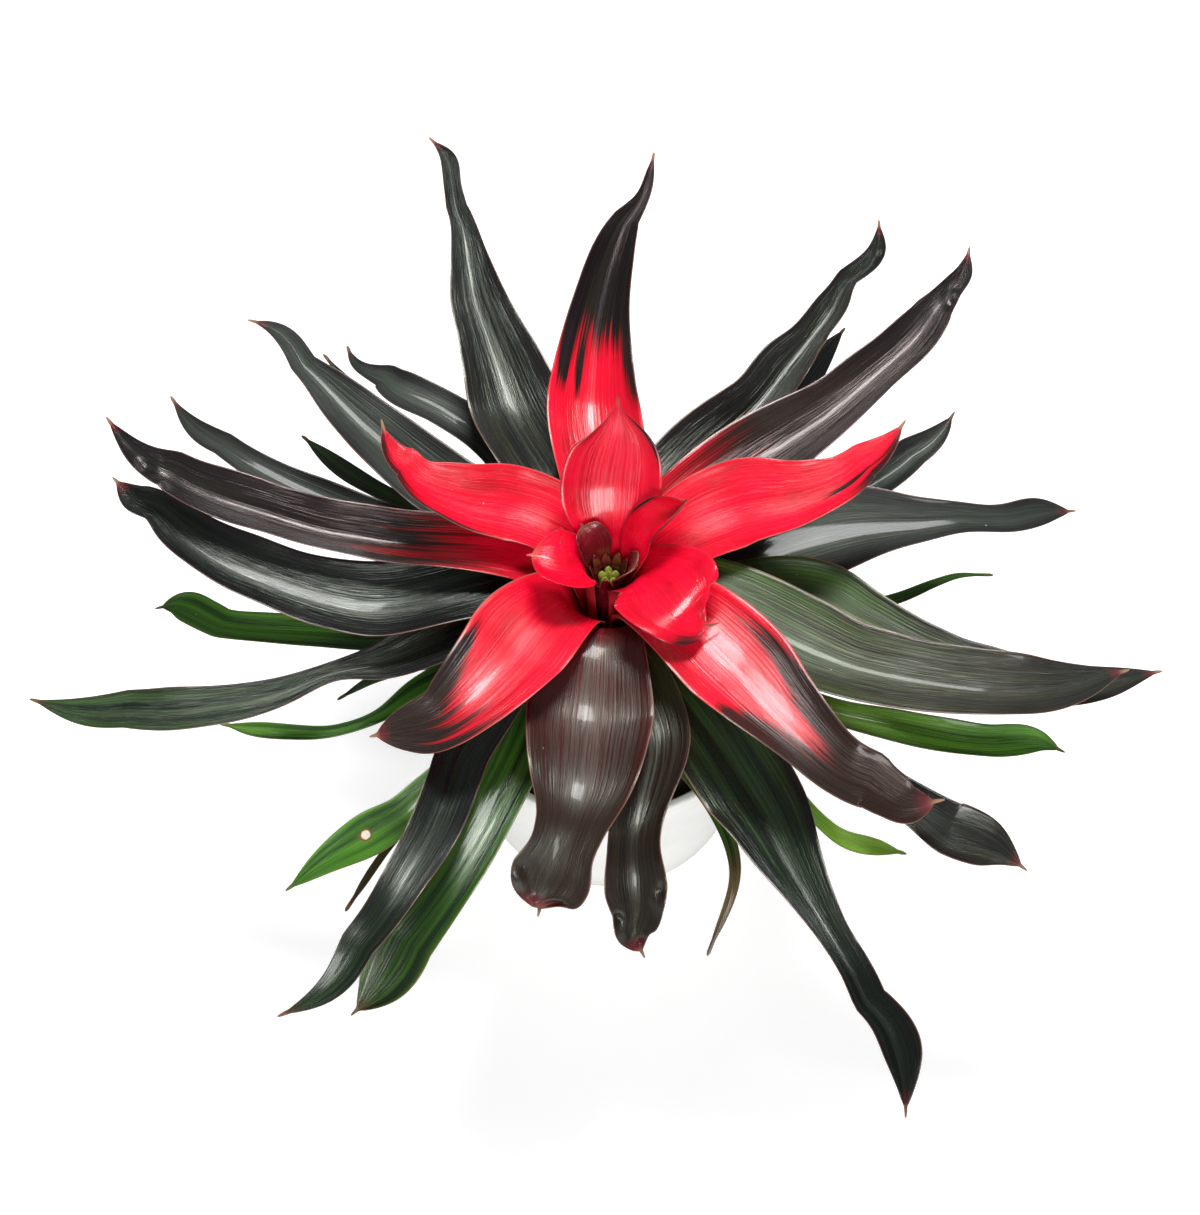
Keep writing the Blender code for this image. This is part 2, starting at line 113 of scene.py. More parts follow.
# %% Leaf table
# level: 0 is innermost.
# azimuth: the tip's, anticlockwise from +X.
# reach: from the plant's axis to the tip.
# heights: of the midrib at the blade's middle, its outer part and its tip.
# sides: how far the midrib swings to the left of the straight way, at the middle and the outer part.
# widths: half the blade's, at the collar, the middle, the outer part and near the tip.
# fold: how far each half turns up into a trough, at the middle and the tip.
# turn: how far left of the tip's azimuth the foot sits.
# blunt: a small number is a long taper, a large one a blunt end.
# lean: a last swing to the left near the tip.
Leaf = namedtuple(
    "Leaf",
    "name level azimuth reach heights sides widths fold turn blunt lean",
    defaults=((35, 40), 0, 8, 0),
)

HEART_LEAVES = [
    Leaf("heart_bract_left", 0, 134, 18, (207, 209, 211), (0, 0), (9, 8, 6, 4), fold=(35, 35)),
    Leaf("heart_bract_right", 0, 332, 14, (205, 206, 207), (0, 0), (8, 7, 5, 3), fold=(35, 35)),
    Leaf("heart_leaf_left", 1, 186, 36, (209, 211, 211), (3, 1), (13, 15, 11, 5), fold=(35, 50)),
    Leaf("heart_leaf_right", 1, 17, 35, (214, 223, 233), (3, 2), (12, 12, 10, 5), fold=(50, 60)),
    Leaf(
        "heart_leaf_back", 2, 86, 54, (217, 236, 248), (2, 0), (20, 23, 16, 6),
        fold=(32, 28), blunt=5,
    ),
    Leaf(
        "heart_leaf_front", 2, 318, 58, (210, 213, 205), (0, -3), (18, 24, 19, 10),
        fold=(25, 25), blunt=5,
    ),
]

RED_LEAVES = [
    Leaf(
        "red_leaf_upper_left", 3, 152, 113, (203, 218, 233), (-5, 8), (18, 19, 11, 7),
        fold=(35, 45), turn=-25, lean=4,
    ),
    Leaf(
        "red_leaf_front_right", 3, 322, 177, (200, 200, 186), (-9, -19), (18, 23, 14, 12),
        fold=(30, 35), lean=-5,
    ),
    Leaf("red_leaf_right", 4, 22, 140, (203, 218, 233), (3, -8), (18, 22, 12, 6), turn=6, lean=-2),
    Leaf(
        "red_leaf_front_left", 4, 218, 129, (199, 200, 186), (10, 16), (18, 22, 15, 10),
        fold=(30, 30),
    ),
    Leaf(
        "red_leaf_back", 5, 84, 207, (200, 225, 240), (15, 12), (18, 21, 11, 4),
        fold=(40, 60), lean=-3,
    ),
    Leaf("red_leaf_left", 6, 162, 240, (193, 203, 207), (13, 19), (16, 15, 11, 8), lean=4),
    Leaf(
        "red_leaf_back_right", 7, 45, 244, (193, 206, 211), (-5, -14), (19, 19, 12, 7),
        fold=(40, 45), lean=-3,
    ),
]

DARK_LEAVES = [
    Leaf(
        "dark_leaf_front", 5, 259, 155, (187, 190, 165), (5, 7), (19, 27, 16, 15),
        fold=(28, 40), blunt=16,
    ),
    Leaf("dark_leaf_right", 6, 347, 228, (192, 200, 194), (-17, -23), (20, 23, 16, 9), fold=(30, 35)),
    Leaf(
        "dark_leaf_front_left", 7, 236, 238, (177, 188, 169), (3, 14), (14, 12, 9, 7),
        fold=(34, 40), turn=-6, lean=4,
    ),
    Leaf("dark_leaf_left", 8, 168, 229, (184, 193, 197), (31, 22), (19, 20, 15, 8), turn=7, blunt=14),
    Leaf(
        "dark_leaf_front_middle", 8, 275, 167, (181, 184, 155), (10, -2), (16, 16, 13, 12),
        fold=(30, 45), blunt=14,
    ),
    Leaf(
        "dark_leaf_back", 9, 110, 260, (182, 203, 211), (10, 3), (18, 19, 8, 6),
        fold=(35, 50), lean=-4,
    ),
    Leaf(
        "dark_leaf_long_front_right", 10, 296, 264, (168, 177, 165), (7, 8), (18, 21, 8, 12),
        fold=(22, 55), lean=7,
    ),
    Leaf(
        "dark_leaf_back_right", 10, 57, 245, (178, 192, 194), (1, -6), (17, 16, 9, 7),
        fold=(45, 50), turn=10, lean=-5,
    ),
    Leaf(
        "dark_leaf_long_left", 10, 192, 258, (175, 178, 173), (16, 21), (16, 6, 10, 7),
        fold=(35, 30), lean=3,
    ),
    Leaf(
        "dark_leaf_under_right", 11, 350, 245, (177, 185, 178), (6, -20), (18, 19, 12, 7),
        fold=(30, 35),
    ),
    Leaf("dark_leaf_upper_left", 11, 141, 220, (175, 192, 198), (4, 2), (17, 18, 10, 6), lean=-4),
    Leaf(
        "dark_leaf_under_front_left", 11, 241, 218, (170, 170, 153), (8, 9), (16, 13, 11, 10),
        fold=(35, 35), blunt=14, lean=3,
    ),
    Leaf("dark_leaf_far_right", 12, 12, 220, (172, 178, 173), (12, 1), (18, 23, 9, 9), fold=(25, 50)),
    Leaf(
        "dark_leaf_thin_left", 12, 153, 232, (167, 180, 182), (9, 13), (14, 12, 8, 5),
        fold=(38, 40), lean=3,
    ),
    Leaf(
        "dark_leaf_under_upper_left", 13, 131, 194, (165, 172, 169), (-12, -3), (12, 11, 9, 5),
        fold=(40, 40), turn=-15, lean=5,
    ),
    Leaf(
        "dark_leaf_under_front_right", 13, 323, 219, (167, 170, 165), (-2, -4), (14, 14, 13, 10),
        fold=(30, 30), lean=3,
    ),
    Leaf(
        "dark_leaf_under_back_right", 14, 54, 199, (162, 167, 165), (-2, -2), (12, 13, 10, 5),
        fold=(40, 40),
    ),
    Leaf(
        "dark_leaf_low_upper_left", 14, 135, 195, (157, 168, 173), (3, 5), (11, 10, 7, 3),
        fold=(40, 40),
    ),
    Leaf(
        "dark_leaf_low_right", 15, 32, 194, (160, 168, 173), (-4, -6), (14, 14, 12, 8),
        fold=(40, 50), lean=-2,
    ),
]

GREEN_LEAVES = [
    Leaf(
        "green_leaf_left", 15, 179, 208, (158, 158, 153), (14, 8), (12, 9, 9, 8),
        fold=(30, 30), blunt=12, lean=-3,
    ),
    Leaf(
        "green_leaf_front_right", 15, 319, 171, (152, 150, 140), (-9, -16), (10, 7, 5, 4),
        fold=(40, 30),
    ),
    Leaf(
        "green_leaf_right", 16, 342, 212, (152, 155, 153), (-13, -12), (12, 9, 9, 7),
        fold=(35, 35), blunt=12,
    ),
    Leaf("green_leaf_lower_left", 16, 197, 181, (152, 154, 149), (14, 17), (9, 5, 4, 3), fold=(35, 35)),
    Leaf("green_leaf_upper_left", 17, 145, 181, (155, 157, 153), (4, 6), (11, 7, 5, 3), fold=(40, 35)),
    Leaf("green_leaf_far_right", 17, 10, 184, (145, 145, 140), (-6, -5), (9, 5, 3, 2), fold=(35, 20)),
    Leaf(
        "green_leaf_front_left", 17, 223, 190, (147, 149, 140), (8, 7), (12, 11, 10, 6),
        fold=(30, 25),
    ),
    Leaf("green_leaf_front", 17, 286, 155, (142, 137, 115), (15, 19), (8, 5, 3, 2), fold=(35, 30)),
    Leaf("green_leaf_small_left", 18, 194, 128, (139, 137, 132), (-3, -4), (6, 3, 3, 2), fold=(30, 30)),
    Leaf(
        "withered_leaf_front_left", 18, 229, 175, (140, 137, 124), (-2, -2), (5, 3, 2, 2),
        fold=(30, 30),
    ),
]
ALL_LEAVES = HEART_LEAVES + RED_LEAVES + DARK_LEAVES + GREEN_LEAVES
print(len(ALL_LEAVES), "leaves")

# %% [markdown]
# ## How each leaf looks
# The same light that reddens the heart fades outwards, and it stops at a different place on every leaf. A
# painted picture could hold that, but a few soft fields on the mesh are enough: how red, how green, how
# brown and how dull a place is, and how near the tip. The veins in the material then break those soft
# fields into streaks. The same entry also holds what makes a leaf's outline its own.

# %% Look table
# A share is of the blade, from the collar. A place across is -1 at the right margin, 1 at the left one.
# red: the share that is red, and more than 1 for a leaf that is red to its tip.
# soft: how softly the red fades.
# green: how green it is, at the collar and at the tip. Over 1.15 it turns yellow.
# brown: how brown it is, at the collar and at the tip. Over 1 it turns maroon.
# tip: how red the last few millimetres are.
# crease: 0 for a round trough, 1 for a sharp fold.
# dull: how far the shine of the wax is rubbed away, from 0 to 1.
# edges: (share, mm that the left margin stands further out there, mm that the right one does).
# dark: patches where the red gives way, each (share, place across, length as a share, width).
# dents: puckers, each (share, place across, radius in mm, depth in mm).
# spots: dry spots, each (share, place across, radius in mm).
Look = namedtuple(
    "Look",
    "red soft green brown tip crease edges dark dents spots dull",
    defaults=(0, 0.1, (0.1, 0), (0, 0), 0.8, 0.12, (), (), (), (), 0),
)

LOOKS = {
    "heart_bract_left": Look(red=-1, brown=(2, 2), tip=0.1),
    "heart_bract_right": Look(red=-1, brown=(2, 2), tip=0.1),
    "heart_leaf_left": Look(
        red=1.6, soft=0.2, tip=0.2,
        edges=((0.2, 2.5, 0), (0.4, 3, 0), (0.7, 2, 0), (0.9, 0, 0)),
    ),
    "heart_leaf_right": Look(
        red=1.6, soft=0.2, tip=0.1, crease=0.5,
        dark=((1.0, 0, 0.12, 1), (0.5, -0.95, 0.25, 0.2), (0.45, 0.98, 0.2, 0.22)),
    ),
    "heart_leaf_back": Look(
        red=1.6, soft=0.2, tip=0.0,
        edges=((0.45, -1, 2), (0.62, -1.5, 2), (0.78, -2.5, -0.5), (0.9, -2, -1.5)),
        dark=((0.72, 1.05, 0.2, 0.28), (0.72, -1.05, 0.2, 0.28), (1.02, 0, 0.06, 1)),
    ),
    "heart_leaf_front": Look(
        red=1.6, soft=0.2, tip=0.2,
        edges=(
            (0.1, 0, -4), (0.2, 0, -4), (0.32, 1, -1), (0.55, 0, 2.5), (0.75, 1, 4), (0.88, 2.5, 3.5),
            (0.95, 3.5, 0), (1, 6, -6),
        ),
        dark=((0.82, -0.95, 0.14, 0.4), (0.97, 0.2, 0.06, 0.6)),
    ),
    "red_leaf_upper_left": Look(
        red=1.4, soft=0.2, brown=(0, 0.3),
        edges=((0.3, 3, -1), (0.45, 6, -5), (0.6, 5, -4), (0.78, 4, -3), (0.9, 1, -1)),
        dark=((0.8, 0.7, 0.14, 0.5), (0.95, 0.5, 0.08, 0.5), (0.55, 1.05, 0.2, 0.2)),
    ),
    "red_leaf_front_right": Look(
        red=0.60, soft=0.08, brown=(0.5, 0.9), dull=0.2,
        edges=((0.3, 2, 3), (0.45, -1, 3), (0.6, -2, 1), (0.78, -2, 5), (0.86, -1, 3), (0.94, 1, 7)),
        dark=((0.42, 0.75, 0.22, 0.22), (0.52, -0.8, 0.12, 0.45)),
    ),
    "red_leaf_right": Look(
        red=1.3, soft=0.15, brown=(0, 0.3),
        edges=((0.3, 1, 3), (0.5, -4, 4), (0.65, -2, 2), (0.8, 1, 2), (0.92, 1.5, 2)),
        dark=((0.78, -1.0, 0.14, 0.6), (0.92, -0.8, 0.1, 0.8), (0.7, -0.2, 0.1, 0.1)),
    ),
    "red_leaf_front_left": Look(
        red=0.66, brown=(0.4, 0.8), dull=0.2,
        edges=((0.25, 3, 3), (0.4, 4, -1), (0.6, 4.5, -2), (0.74, 5, -2), (0.85, 1.5, -2)),
        dark=((0.55, -0.85, 0.22, 0.3),),
    ),
    "red_leaf_back": Look(
        red=0.50, soft=0.05, brown=(0.3, 0.4), crease=0.6,
        edges=(
            (0.25, 5, 1), (0.4, 3, 0.5), (0.55, 1.5, -0.5), (0.77, 2, 2), (0.86, -1, 1), (0.95, 1.5, 1),
        ),
        dark=((0.42, 0.75, 0.10, 0.16), (0.40, 0.35, 0.08, 0.10), (0.38, -0.9, 0.14, 0.2)),
    ),
    "red_leaf_left": Look(
        red=0.22, soft=0.14, brown=(0.9, 0.1), crease=0.55,
        edges=((0.35, 4, -3), (0.45, 5, -4), (0.6, 5, 0), (0.83, 5, -1), (0.93, 0.5, -1)),
        dents=((0.86, 0.3, 6, 1.6), (0.80, 0.7, 5, -1.2)),
    ),
    "red_leaf_back_right": Look(
        red=0.16, soft=0.12, brown=(0.9, 0.2), crease=0.5,
        edges=((0.3, 0, 6), (0.45, -5, 5), (0.6, -3, 1.5), (0.78, 0, 3), (0.87, 0, 0), (0.93, 0, 3)),
        dents=((0.84, -0.6, 5, 1.8), (0.87, -0.3, 3.5, -1)),
    ),
    "dark_leaf_front": Look(
        red=-0.2, brown=(1.9, 0.75), dull=0.3,
        edges=(
            (0.4, 2.5, 1), (0.6, 5.5, 2), (0.72, 1, -1), (0.79, -1, -2), (0.86, 2, 2), (0.93, 3, 5.5),
        ),
        dents=((0.95, 0.7, 6, 3.2), (0.91, -0.75, 5, -2.4), (0.985, -0.2, 3, 1.5)),
    ),
    "dark_leaf_right": Look(
        green=(0.55, 0), brown=(1.2, 0.3), dull=0.5,
        edges=(
            (0.3, -3, 3), (0.42, -8, 3), (0.5, -6.5, 2.5), (0.6, -4, 1.5), (0.72, -1, 3), (0.9, -1, 4),
        ),
    ),
    "dark_leaf_front_left": Look(
        green=(0, 0.3), brown=(0.2, 0.0), tip=0.3,
        edges=(
            (0.25, -7, 7), (0.35, -7, 8), (0.42, -4, 5), (0.5, -1, 3), (0.65, 0, 1), (0.8, 2.5, -2),
            (0.93, 2.5, -2),
        ),
    ),
    "dark_leaf_left": Look(
        brown=(0.1, 0.2),
        edges=(
            (0.37, 4, -3), (0.55, 2, -5), (0.68, 3, -5), (0.8, 1, -1.5), (0.86, -1.5, 0), (0.93, 5, 0),
        ),
    ),
    "dark_leaf_front_middle": Look(
        green=(0.3, 0), brown=(0.9, 0.5), crease=0.8, dull=0.2,
        edges=((0.4, 3, 0), (0.66, 0, 0), (0.79, 2.5, 3), (0.86, -1, 1), (0.92, -3, 3.5)),
        dents=((0.88, -0.8, 5, 3), (0.80, 0.85, 5, 2.4), (0.96, 0.4, 4, 2)),
    ),
    "dark_leaf_back": Look(
        green=(0.15, 0.1), brown=(0.5, 0.1), crease=0.5,
        edges=(
            (0.3, 3.5, 7), (0.42, 1, 6.5), (0.5, 1, 4.5), (0.58, 3, 3), (0.66, 1, 2), (0.78, -2.5, 2),
            (0.86, -1, -0.5), (0.94, 0, 4),
        ),
    ),
    "dark_leaf_long_front_right": Look(
        green=(0.4, 0.05), brown=(0.0, 0.2), tip=0.35, crease=0.8,
        edges=(
            (0.3, 5, -3), (0.4, 4, -2), (0.5, 0.5, 0.5), (0.65, -1, 2), (0.76, 2, 2.5), (0.82, 1, 1),
            (0.92, 1.5, 5),
        ),
    ),
    "dark_leaf_back_right": Look(
        brown=(0.5, 0.3), crease=0.6,
        edges=(
            (0.28, 3, 3), (0.43, -2.5, 4.5), (0.55, 0, 4.5), (0.61, -2.5, 2), (0.72, -1.5, 2.3),
            (0.78, -2, -0.5), (0.87, -1.5, 2.5),
        ),
        dents=((0.62, -0.9, 5, 1.5), (0.9, -0.6, 4, 1)),
    ),
    "dark_leaf_long_left": Look(
        green=(0, 0.45), brown=(0.4, 0.1), tip=0.4,
        edges=((0.3, 5.5, 3), (0.41, -2, 1), (0.52, 2.5, -1), (0.65, 2, 0), (0.9, 1.5, 1)),
    ),
    "dark_leaf_under_right": Look(
        green=(0.9, -0.3), brown=(1.0, 0.3), dull=0.6,
        edges=(
            (0.15, 5, 0), (0.27, 4, 0), (0.35, -6, 2), (0.45, -11, 4), (0.53, -9, 3), (0.62, -4.5, 2),
            (0.9, 0, 3),
        ),
    ),
    "dark_leaf_upper_left": Look(
        dull=0.8,
        edges=((0.45, 2, 0), (0.6, 3.5, 0), (0.8, -1.5, -1), (0.96, 0, 2)),
    ),
    "dark_leaf_under_front_left": Look(
        green=(0.6, 0.5), brown=(0, 0.5), tip=0.4,
        edges=((0.35, -2, 0), (0.6, 1, 0), (0.92, 1.5, 3)),
    ),
    "dark_leaf_far_right": Look(
        tip=0.5, dull=1.0,
        edges=((0.42, 0, 3), (0.58, -1.5, 1), (0.7, 0, 0), (0.82, -1.5, 3.5), (0.92, 2, 2.5)),
    ),
    "dark_leaf_thin_left": Look(tip=0.4, dull=1, edges=((0.6, 1, -2), (0.75, 2, -2), (0.85, 3, -1))),
    "dark_leaf_under_upper_left": Look(
        green=(0.2, 0.1), tip=0.4, dull=1,
        edges=((0.6, -2, 3), (0.76, 4, -1), (0.86, 0, -1.5)),
    ),
    "dark_leaf_under_front_right": Look(
        brown=(0.3, 0.4), tip=0.5,
        edges=((0.72, -4, 0), (0.83, 0, 7), (0.9, 2.5, 6.5), (0.95, 1, 3)),
    ),
    "dark_leaf_under_back_right": Look(green=(0.3, 0.1), tip=0.3),
    "dark_leaf_low_upper_left": Look(green=(0.3, 0.3), tip=0.2, dull=1),
    "dark_leaf_low_right": Look(
        green=(0.2, 0.1), tip=0.2, dull=0.6,
        edges=((0.78, -4, 2), (0.92, -2, 1)),
    ),
    "green_leaf_left": Look(
        green=(1.0, 0.8), tip=0.1,
        edges=((0.5, 1, -1), (0.85, 1.5, -1.5), (0.94, 0, 4.5), (1, -1.5, 1.5)),
    ),
    "green_leaf_right": Look(
        green=(1.6, 1.1), tip=0.1,
        edges=((0.4, -4.5, 1), (0.55, -2, 1), (0.8, -0.5, 1), (0.93, 2, 0.5), (1, -4, 4)),
    ),
    "green_leaf_front_right": Look(
        green=(1.1, 1.5), tip=0.0,
        edges=((0.7, -2, -1), (0.8, -3, 2.5), (0.93, 0, 2)),
    ),
    "green_leaf_lower_left": Look(
        green=(0.8, 1.3), tip=0.1,
        edges=((0.35, 0, 4), (0.5, 2, -4), (0.63, 2, -4), (0.76, 1, -0.5), (0.92, 2, 0.5)),
    ),
    "green_leaf_upper_left": Look(green=(0.5, 0.4), tip=0.1, edges=((0.6, 0, -2), (0.82, 1.5, 0))),
    "green_leaf_far_right": Look(
        green=(0.9, 0.6), tip=0.0,
        edges=((0.66, -2.5, 1.5), (0.78, 1.5, -2.5), (0.86, 3, -4)),
    ),
    "green_leaf_front_left": Look(
        green=(1.3, 1.1), tip=0.0,
        edges=((0.5, 0, -4), (0.6, 1, -4.5), (0.7, 2, -1), (0.86, -1, 1)),
        spots=((0.72, -0.15, 2.3),),
    ),
    "green_leaf_front": Look(green=(2.2, -0.7), brown=(-1.6, 1.7), tip=0.0, edges=((0.75, 0.5, -1),)),
    "green_leaf_small_left": Look(green=(0.9, 0.4), tip=0.0),
    "withered_leaf_front_left": Look(green=(1.0, -1.0), brown=(0.3, 1.4), tip=0.6),
}

print(sum(len(look.edges) for look in LOOKS.values()), "places where a margin stands in or out")

# %% [markdown]
# ## The midrib
# A leaf's midrib leaves the stem, runs up the cup wall, turns out at the collar and arches away.
# Drawing it as a Bezier curve would work too, but a cubic through a few measured stations keeps every
# number a real length.

# %% Midrib stations
# Radii and heights on the stem are the innermost leaf's and the lowest leaf's. The collar is where a
# leaf's sheath ends and its blade begins.
STEM_RADIUS = (7.0, 21.4)
STEM_HEIGHT = (147.0, 106.5)
LOWEST_LEVEL = 18
COLLAR_LEVELS = (0, 1, 2, 3, 5, 8, 11, 14, 18)
COLLAR_RADII = (11.5, 13.3, 16, 21, 26, 32, 37, 43, 50)
COLLAR_HEIGHTS = (204, 203, 202, 190, 186, 178, 166, 150, 120)
SHEATH_MIDDLE = (0.36, 0, 0.55)  # share of the way out, and of the way up, from foot to collar
MIDDLE_SHARE = 0.35
OUTER_SHARE = 0.75


def at_level(limits, level):
    """The value at a level, on a straight line from the innermost level's to the lowest level's."""
    return limits[0] + (limits[1] - limits[0]) * level / LOWEST_LEVEL


def midrib_stations(leaf):
    """(outwards, to the left, up) at six stations: the foot, the middle of the sheath, the collar, and the
    blade's middle, its outer part and its tip. The first three swing round the axis by the leaf's turn."""
    foot = np.array([at_level(STEM_RADIUS, leaf.level), 0, at_level(STEM_HEIGHT, leaf.level)])
    collar_radius = np.interp(leaf.level, COLLAR_LEVELS, COLLAR_RADII)
    collar_height = np.interp(leaf.level, COLLAR_LEVELS, COLLAR_HEIGHTS)
    collar = np.array([collar_radius, 0, collar_height])
    lower = np.array([foot, foot + (collar - foot) * SHEATH_MIDDLE, collar])
    swing = math.radians(leaf.turn)
    lower = lower * (math.cos(swing), 0, 1) + lower[:, :1] * (0, math.sin(swing), 0)
    blade = leaf.reach - collar_radius
    middle = (collar_radius + MIDDLE_SHARE * blade, leaf.sides[0], leaf.heights[0])
    outer = (collar_radius + OUTER_SHARE * blade, leaf.sides[1], leaf.heights[1])
    tip = (leaf.reach, 0, leaf.heights[2])
    return np.vstack([lower, middle, outer, tip])


print("the long front right leaf passes", midrib_stations(DARK_LEAVES[6]).round(0).tolist())

# %% Smooth curves
def smooth_through(knots, values, places):
    """A cubic between each two knots, whose slope at a knot is that of its neighbours."""
    values = np.asarray(values, float)
    slopes = np.gradient(values, knots, axis=0)
    index = np.clip(np.searchsorted(knots, places, side="right") - 1, 0, len(knots) - 2)
    span = (knots[index + 1] - knots[index])[:, None]
    t = ((places - knots[index]) / span[:, 0])[:, None]
    before = values[index] * (1 + 2 * t) * (1 - t) ** 2 + slopes[index] * span * t * (1 - t) ** 2
    after = values[index + 1] * (3 - 2 * t) * t**2 - slopes[index + 1] * span * (1 - t) * t**2
    return before + after


def ease(values, start, end):
    """0 before start, 1 after end, and a smooth step between."""
    t = np.clip((values - start) / (end - start), 0, 1)
    return t * t * (3 - 2 * t)


def unit(vectors):
    """Each vector divided by its own length."""
    return vectors / np.maximum(np.linalg.norm(vectors, axis=-1, keepdims=True), 1e-12)


print("a smooth step from 0 to 1:", ease(np.linspace(0, 1, 5), 0, 1).round(2).tolist())

# %% [markdown]
# ## Rows from foot to tip
# The leaf is a grid, with rows across it and columns along it. Evenly spaced rows would leave the small
# hard point coarse, so they crowd towards the tip. A place is a share of the whole midrib, and blade is
# the share of the blade alone, which is how the tables give every margin, dent and patch.

# %% Rows and midrib line
COLLAR, MIDDLE, OUTER = 2, 3, 4  # which station each one is
SHEATH_ROWS = 14
BLADE_ROWS = 84
TIP_CROWDING = 1.35
LEAN_FROM = 0.8

Rows = namedtuple("Rows", "stations knots places blade length blade_length")


def leaf_rows(leaf):
    """Where the rows lie: even steps up the sheath, then steps that shrink as a power of the way left to
    the tip. The knots are the stations' own places, by straight distance."""
    stations = midrib_stations(leaf)
    steps = np.linalg.norm(np.diff(stations, axis=0), axis=1)
    length = steps.sum()
    knots = np.concatenate([[0], np.cumsum(steps)]) / length
    collar = knots[COLLAR]
    t = np.linspace(0, 1, BLADE_ROWS)
    blade_places = collar + (1 - collar) * (1 - (1 - t) ** TIP_CROWDING)
    places = np.append(np.linspace(0, collar, SHEATH_ROWS, endpoint=False), blade_places)
    blade = np.clip((places - collar) / (1 - collar), 0, 1)
    return Rows(stations, knots, places, blade, length, length * (1 - collar))


def midrib_line(leaf, rows, shift):
    """The midrib's points, and the level direction to its left. It is a cubic through the stations, swung
    by half a sine wave near the tip and moved by shift, then turned to the leaf's azimuth."""
    local = smooth_through(rows.knots, rows.stations, rows.places)
    local[:, 1] += leaf.lean * np.sin(math.pi * np.clip((rows.blade - LEAN_FROM) / (1 - LEAN_FROM), 0, 1))
    local[:, 1] += shift
    turn = math.radians(leaf.azimuth)
    outwards = np.array([math.cos(turn), math.sin(turn), 0])
    leftwards = np.array([-math.sin(turn), math.cos(turn), 0])
    upwards = np.array([0, 0, 1])
    midrib = local[:, :1] * outwards + local[:, 1:2] * leftwards + local[:, 2:] * upwards
    return midrib, leftwards


red_back = RED_LEAVES[4]
print(red_back.name, "is", round(leaf_rows(red_back).blade_length), "mm long beyond its collar")

# %% [markdown]
# ## Width and margins
# A strap leaf keeps its width and then closes quickly to a short hard point. One power of the place along
# it gives that closing, and a high power gives a blunter end. The margins of a real leaf are never quite
# fair, so each of them stands in or out by a smooth curve through the places in the look table.

# %% Width and margins
NEAR_TIP_SHARE = 0.92
LAST_WIDTH = 0.4  # the width curve's end, as a share of the width near the tip
POINT_LENGTH = 3.5
POINT_HALF_WIDTH = 0.8
POINT_END = 0.15
NARROWEST_HALF = 1


def margin_moves(look, blade):
    """How far the left and the right margin stand further out, smoothly through the look's places, and
    nothing at the collar."""
    at_tip = () if look.edges and look.edges[-1][0] == 1 else ((1, 0, 0),)
    places = np.array([(0, 0, 0), *look.edges, *at_tip], float)
    moves = smooth_through(places[:, 0], places[:, 1:], blade)
    return moves[:, 0], moves[:, 1]


def half_widths(leaf, rows, wider):
    """Half the width of each row: a cubic through the leaf's widths plus wider, times the root of
    1 - place^blunt, which closes the tip, and never less than the tapering point."""
    collar = rows.knots[COLLAR]
    near_tip = collar + NEAR_TIP_SHARE * (1 - collar)
    at_collar, in_middle, outer, at_near_tip = leaf.widths
    knots = np.array([0, collar, rows.knots[MIDDLE], rows.knots[OUTER], near_tip, 1])
    values = np.array([at_collar, at_collar, in_middle, outer, at_near_tip, LAST_WIDTH * at_near_tip])
    half = smooth_through(knots, values[:, None], rows.places)[:, 0]
    point = min(POINT_LENGTH, 0.3 * at_near_tip + 1) / rows.blade_length
    before_point = np.clip(rows.blade / (1 - point), 0, 1)
    half = np.maximum(half + wider, NARROWEST_HALF) * np.sqrt(1 - before_point**leaf.blunt)
    spike = POINT_HALF_WIDTH * np.clip((1 - rows.blade) / point, 0, 1) ** 0.6 + POINT_END
    return np.maximum(half, np.minimum(spike, NARROWEST_HALF))


print("its widest half is", round(float(half_widths(red_back, leaf_rows(red_back), 0).max()), 1), "mm")

# %% [markdown]
# ## The section
# Across the blade the section is a trough, an arc whose half angle is the fold, or nearer to two flat
# halves where a leaf is creased. Shallow flutes, waving margins and bruised puckers go on top of it. All of
# that could be bumps in a material, but then a leaf's outline would stay smooth, so they are shapes.

# %% Section
ACROSS = 24
COLLAR_FOLD = 38
CREASE_WIDTH = 0.12
FULL_SIZE_HALF = 12  # a leaf of this half width, or more, has ripples of full depth
MARGIN_WAVES = ((0.8, 13), (0.3, 5.3))
OTHER_MARGIN_WAVES = ((0.8, 11), (0.3, 6.1))
FLUTE_DEPTHS = (0.26, 0.07)


def summed_from_midrib(values):
    """The running sum of a row's values over the place across, nothing at the midrib."""
    steps = (values[:, 1:] + values[:, :-1]) / 2 * (2 / ACROSS)
    total = np.concatenate([np.zeros_like(values[:, :1]), np.cumsum(steps, axis=1)], axis=1)
    return total - total[:, ACROSS // 2 : ACROSS // 2 + 1]


def trough(leaf, look, rows, across, half):
    """How far each point lies to the left of the midrib, and how far above it: the running sums of the
    cosine and the sine of the section's slope, which grows evenly across, or at once at a crease."""
    bends = (COLLAR_FOLD, leaf.fold[0], leaf.fold[1], leaf.fold[1])
    fold = np.radians(np.interp(rows.places, rows.knots[COLLAR:], bends))[:, None]
    crease = look.crease * ease(rows.blade, 0.1, 0.4)[:, None]
    slope = fold * ((1 - crease) * across + crease * np.tanh(across / CREASE_WIDTH))
    half = half[:, None]
    return summed_from_midrib(np.cos(slope)) * half, summed_from_midrib(np.sin(slope)) * half


def waves(run, sizes, phases):
    """Sine waves along a margin added up, each (height, length over a whole turn's radians)."""
    return sum(height * np.sin(run / long + phase) for (height, long), phase in zip(sizes, phases))[:, None]


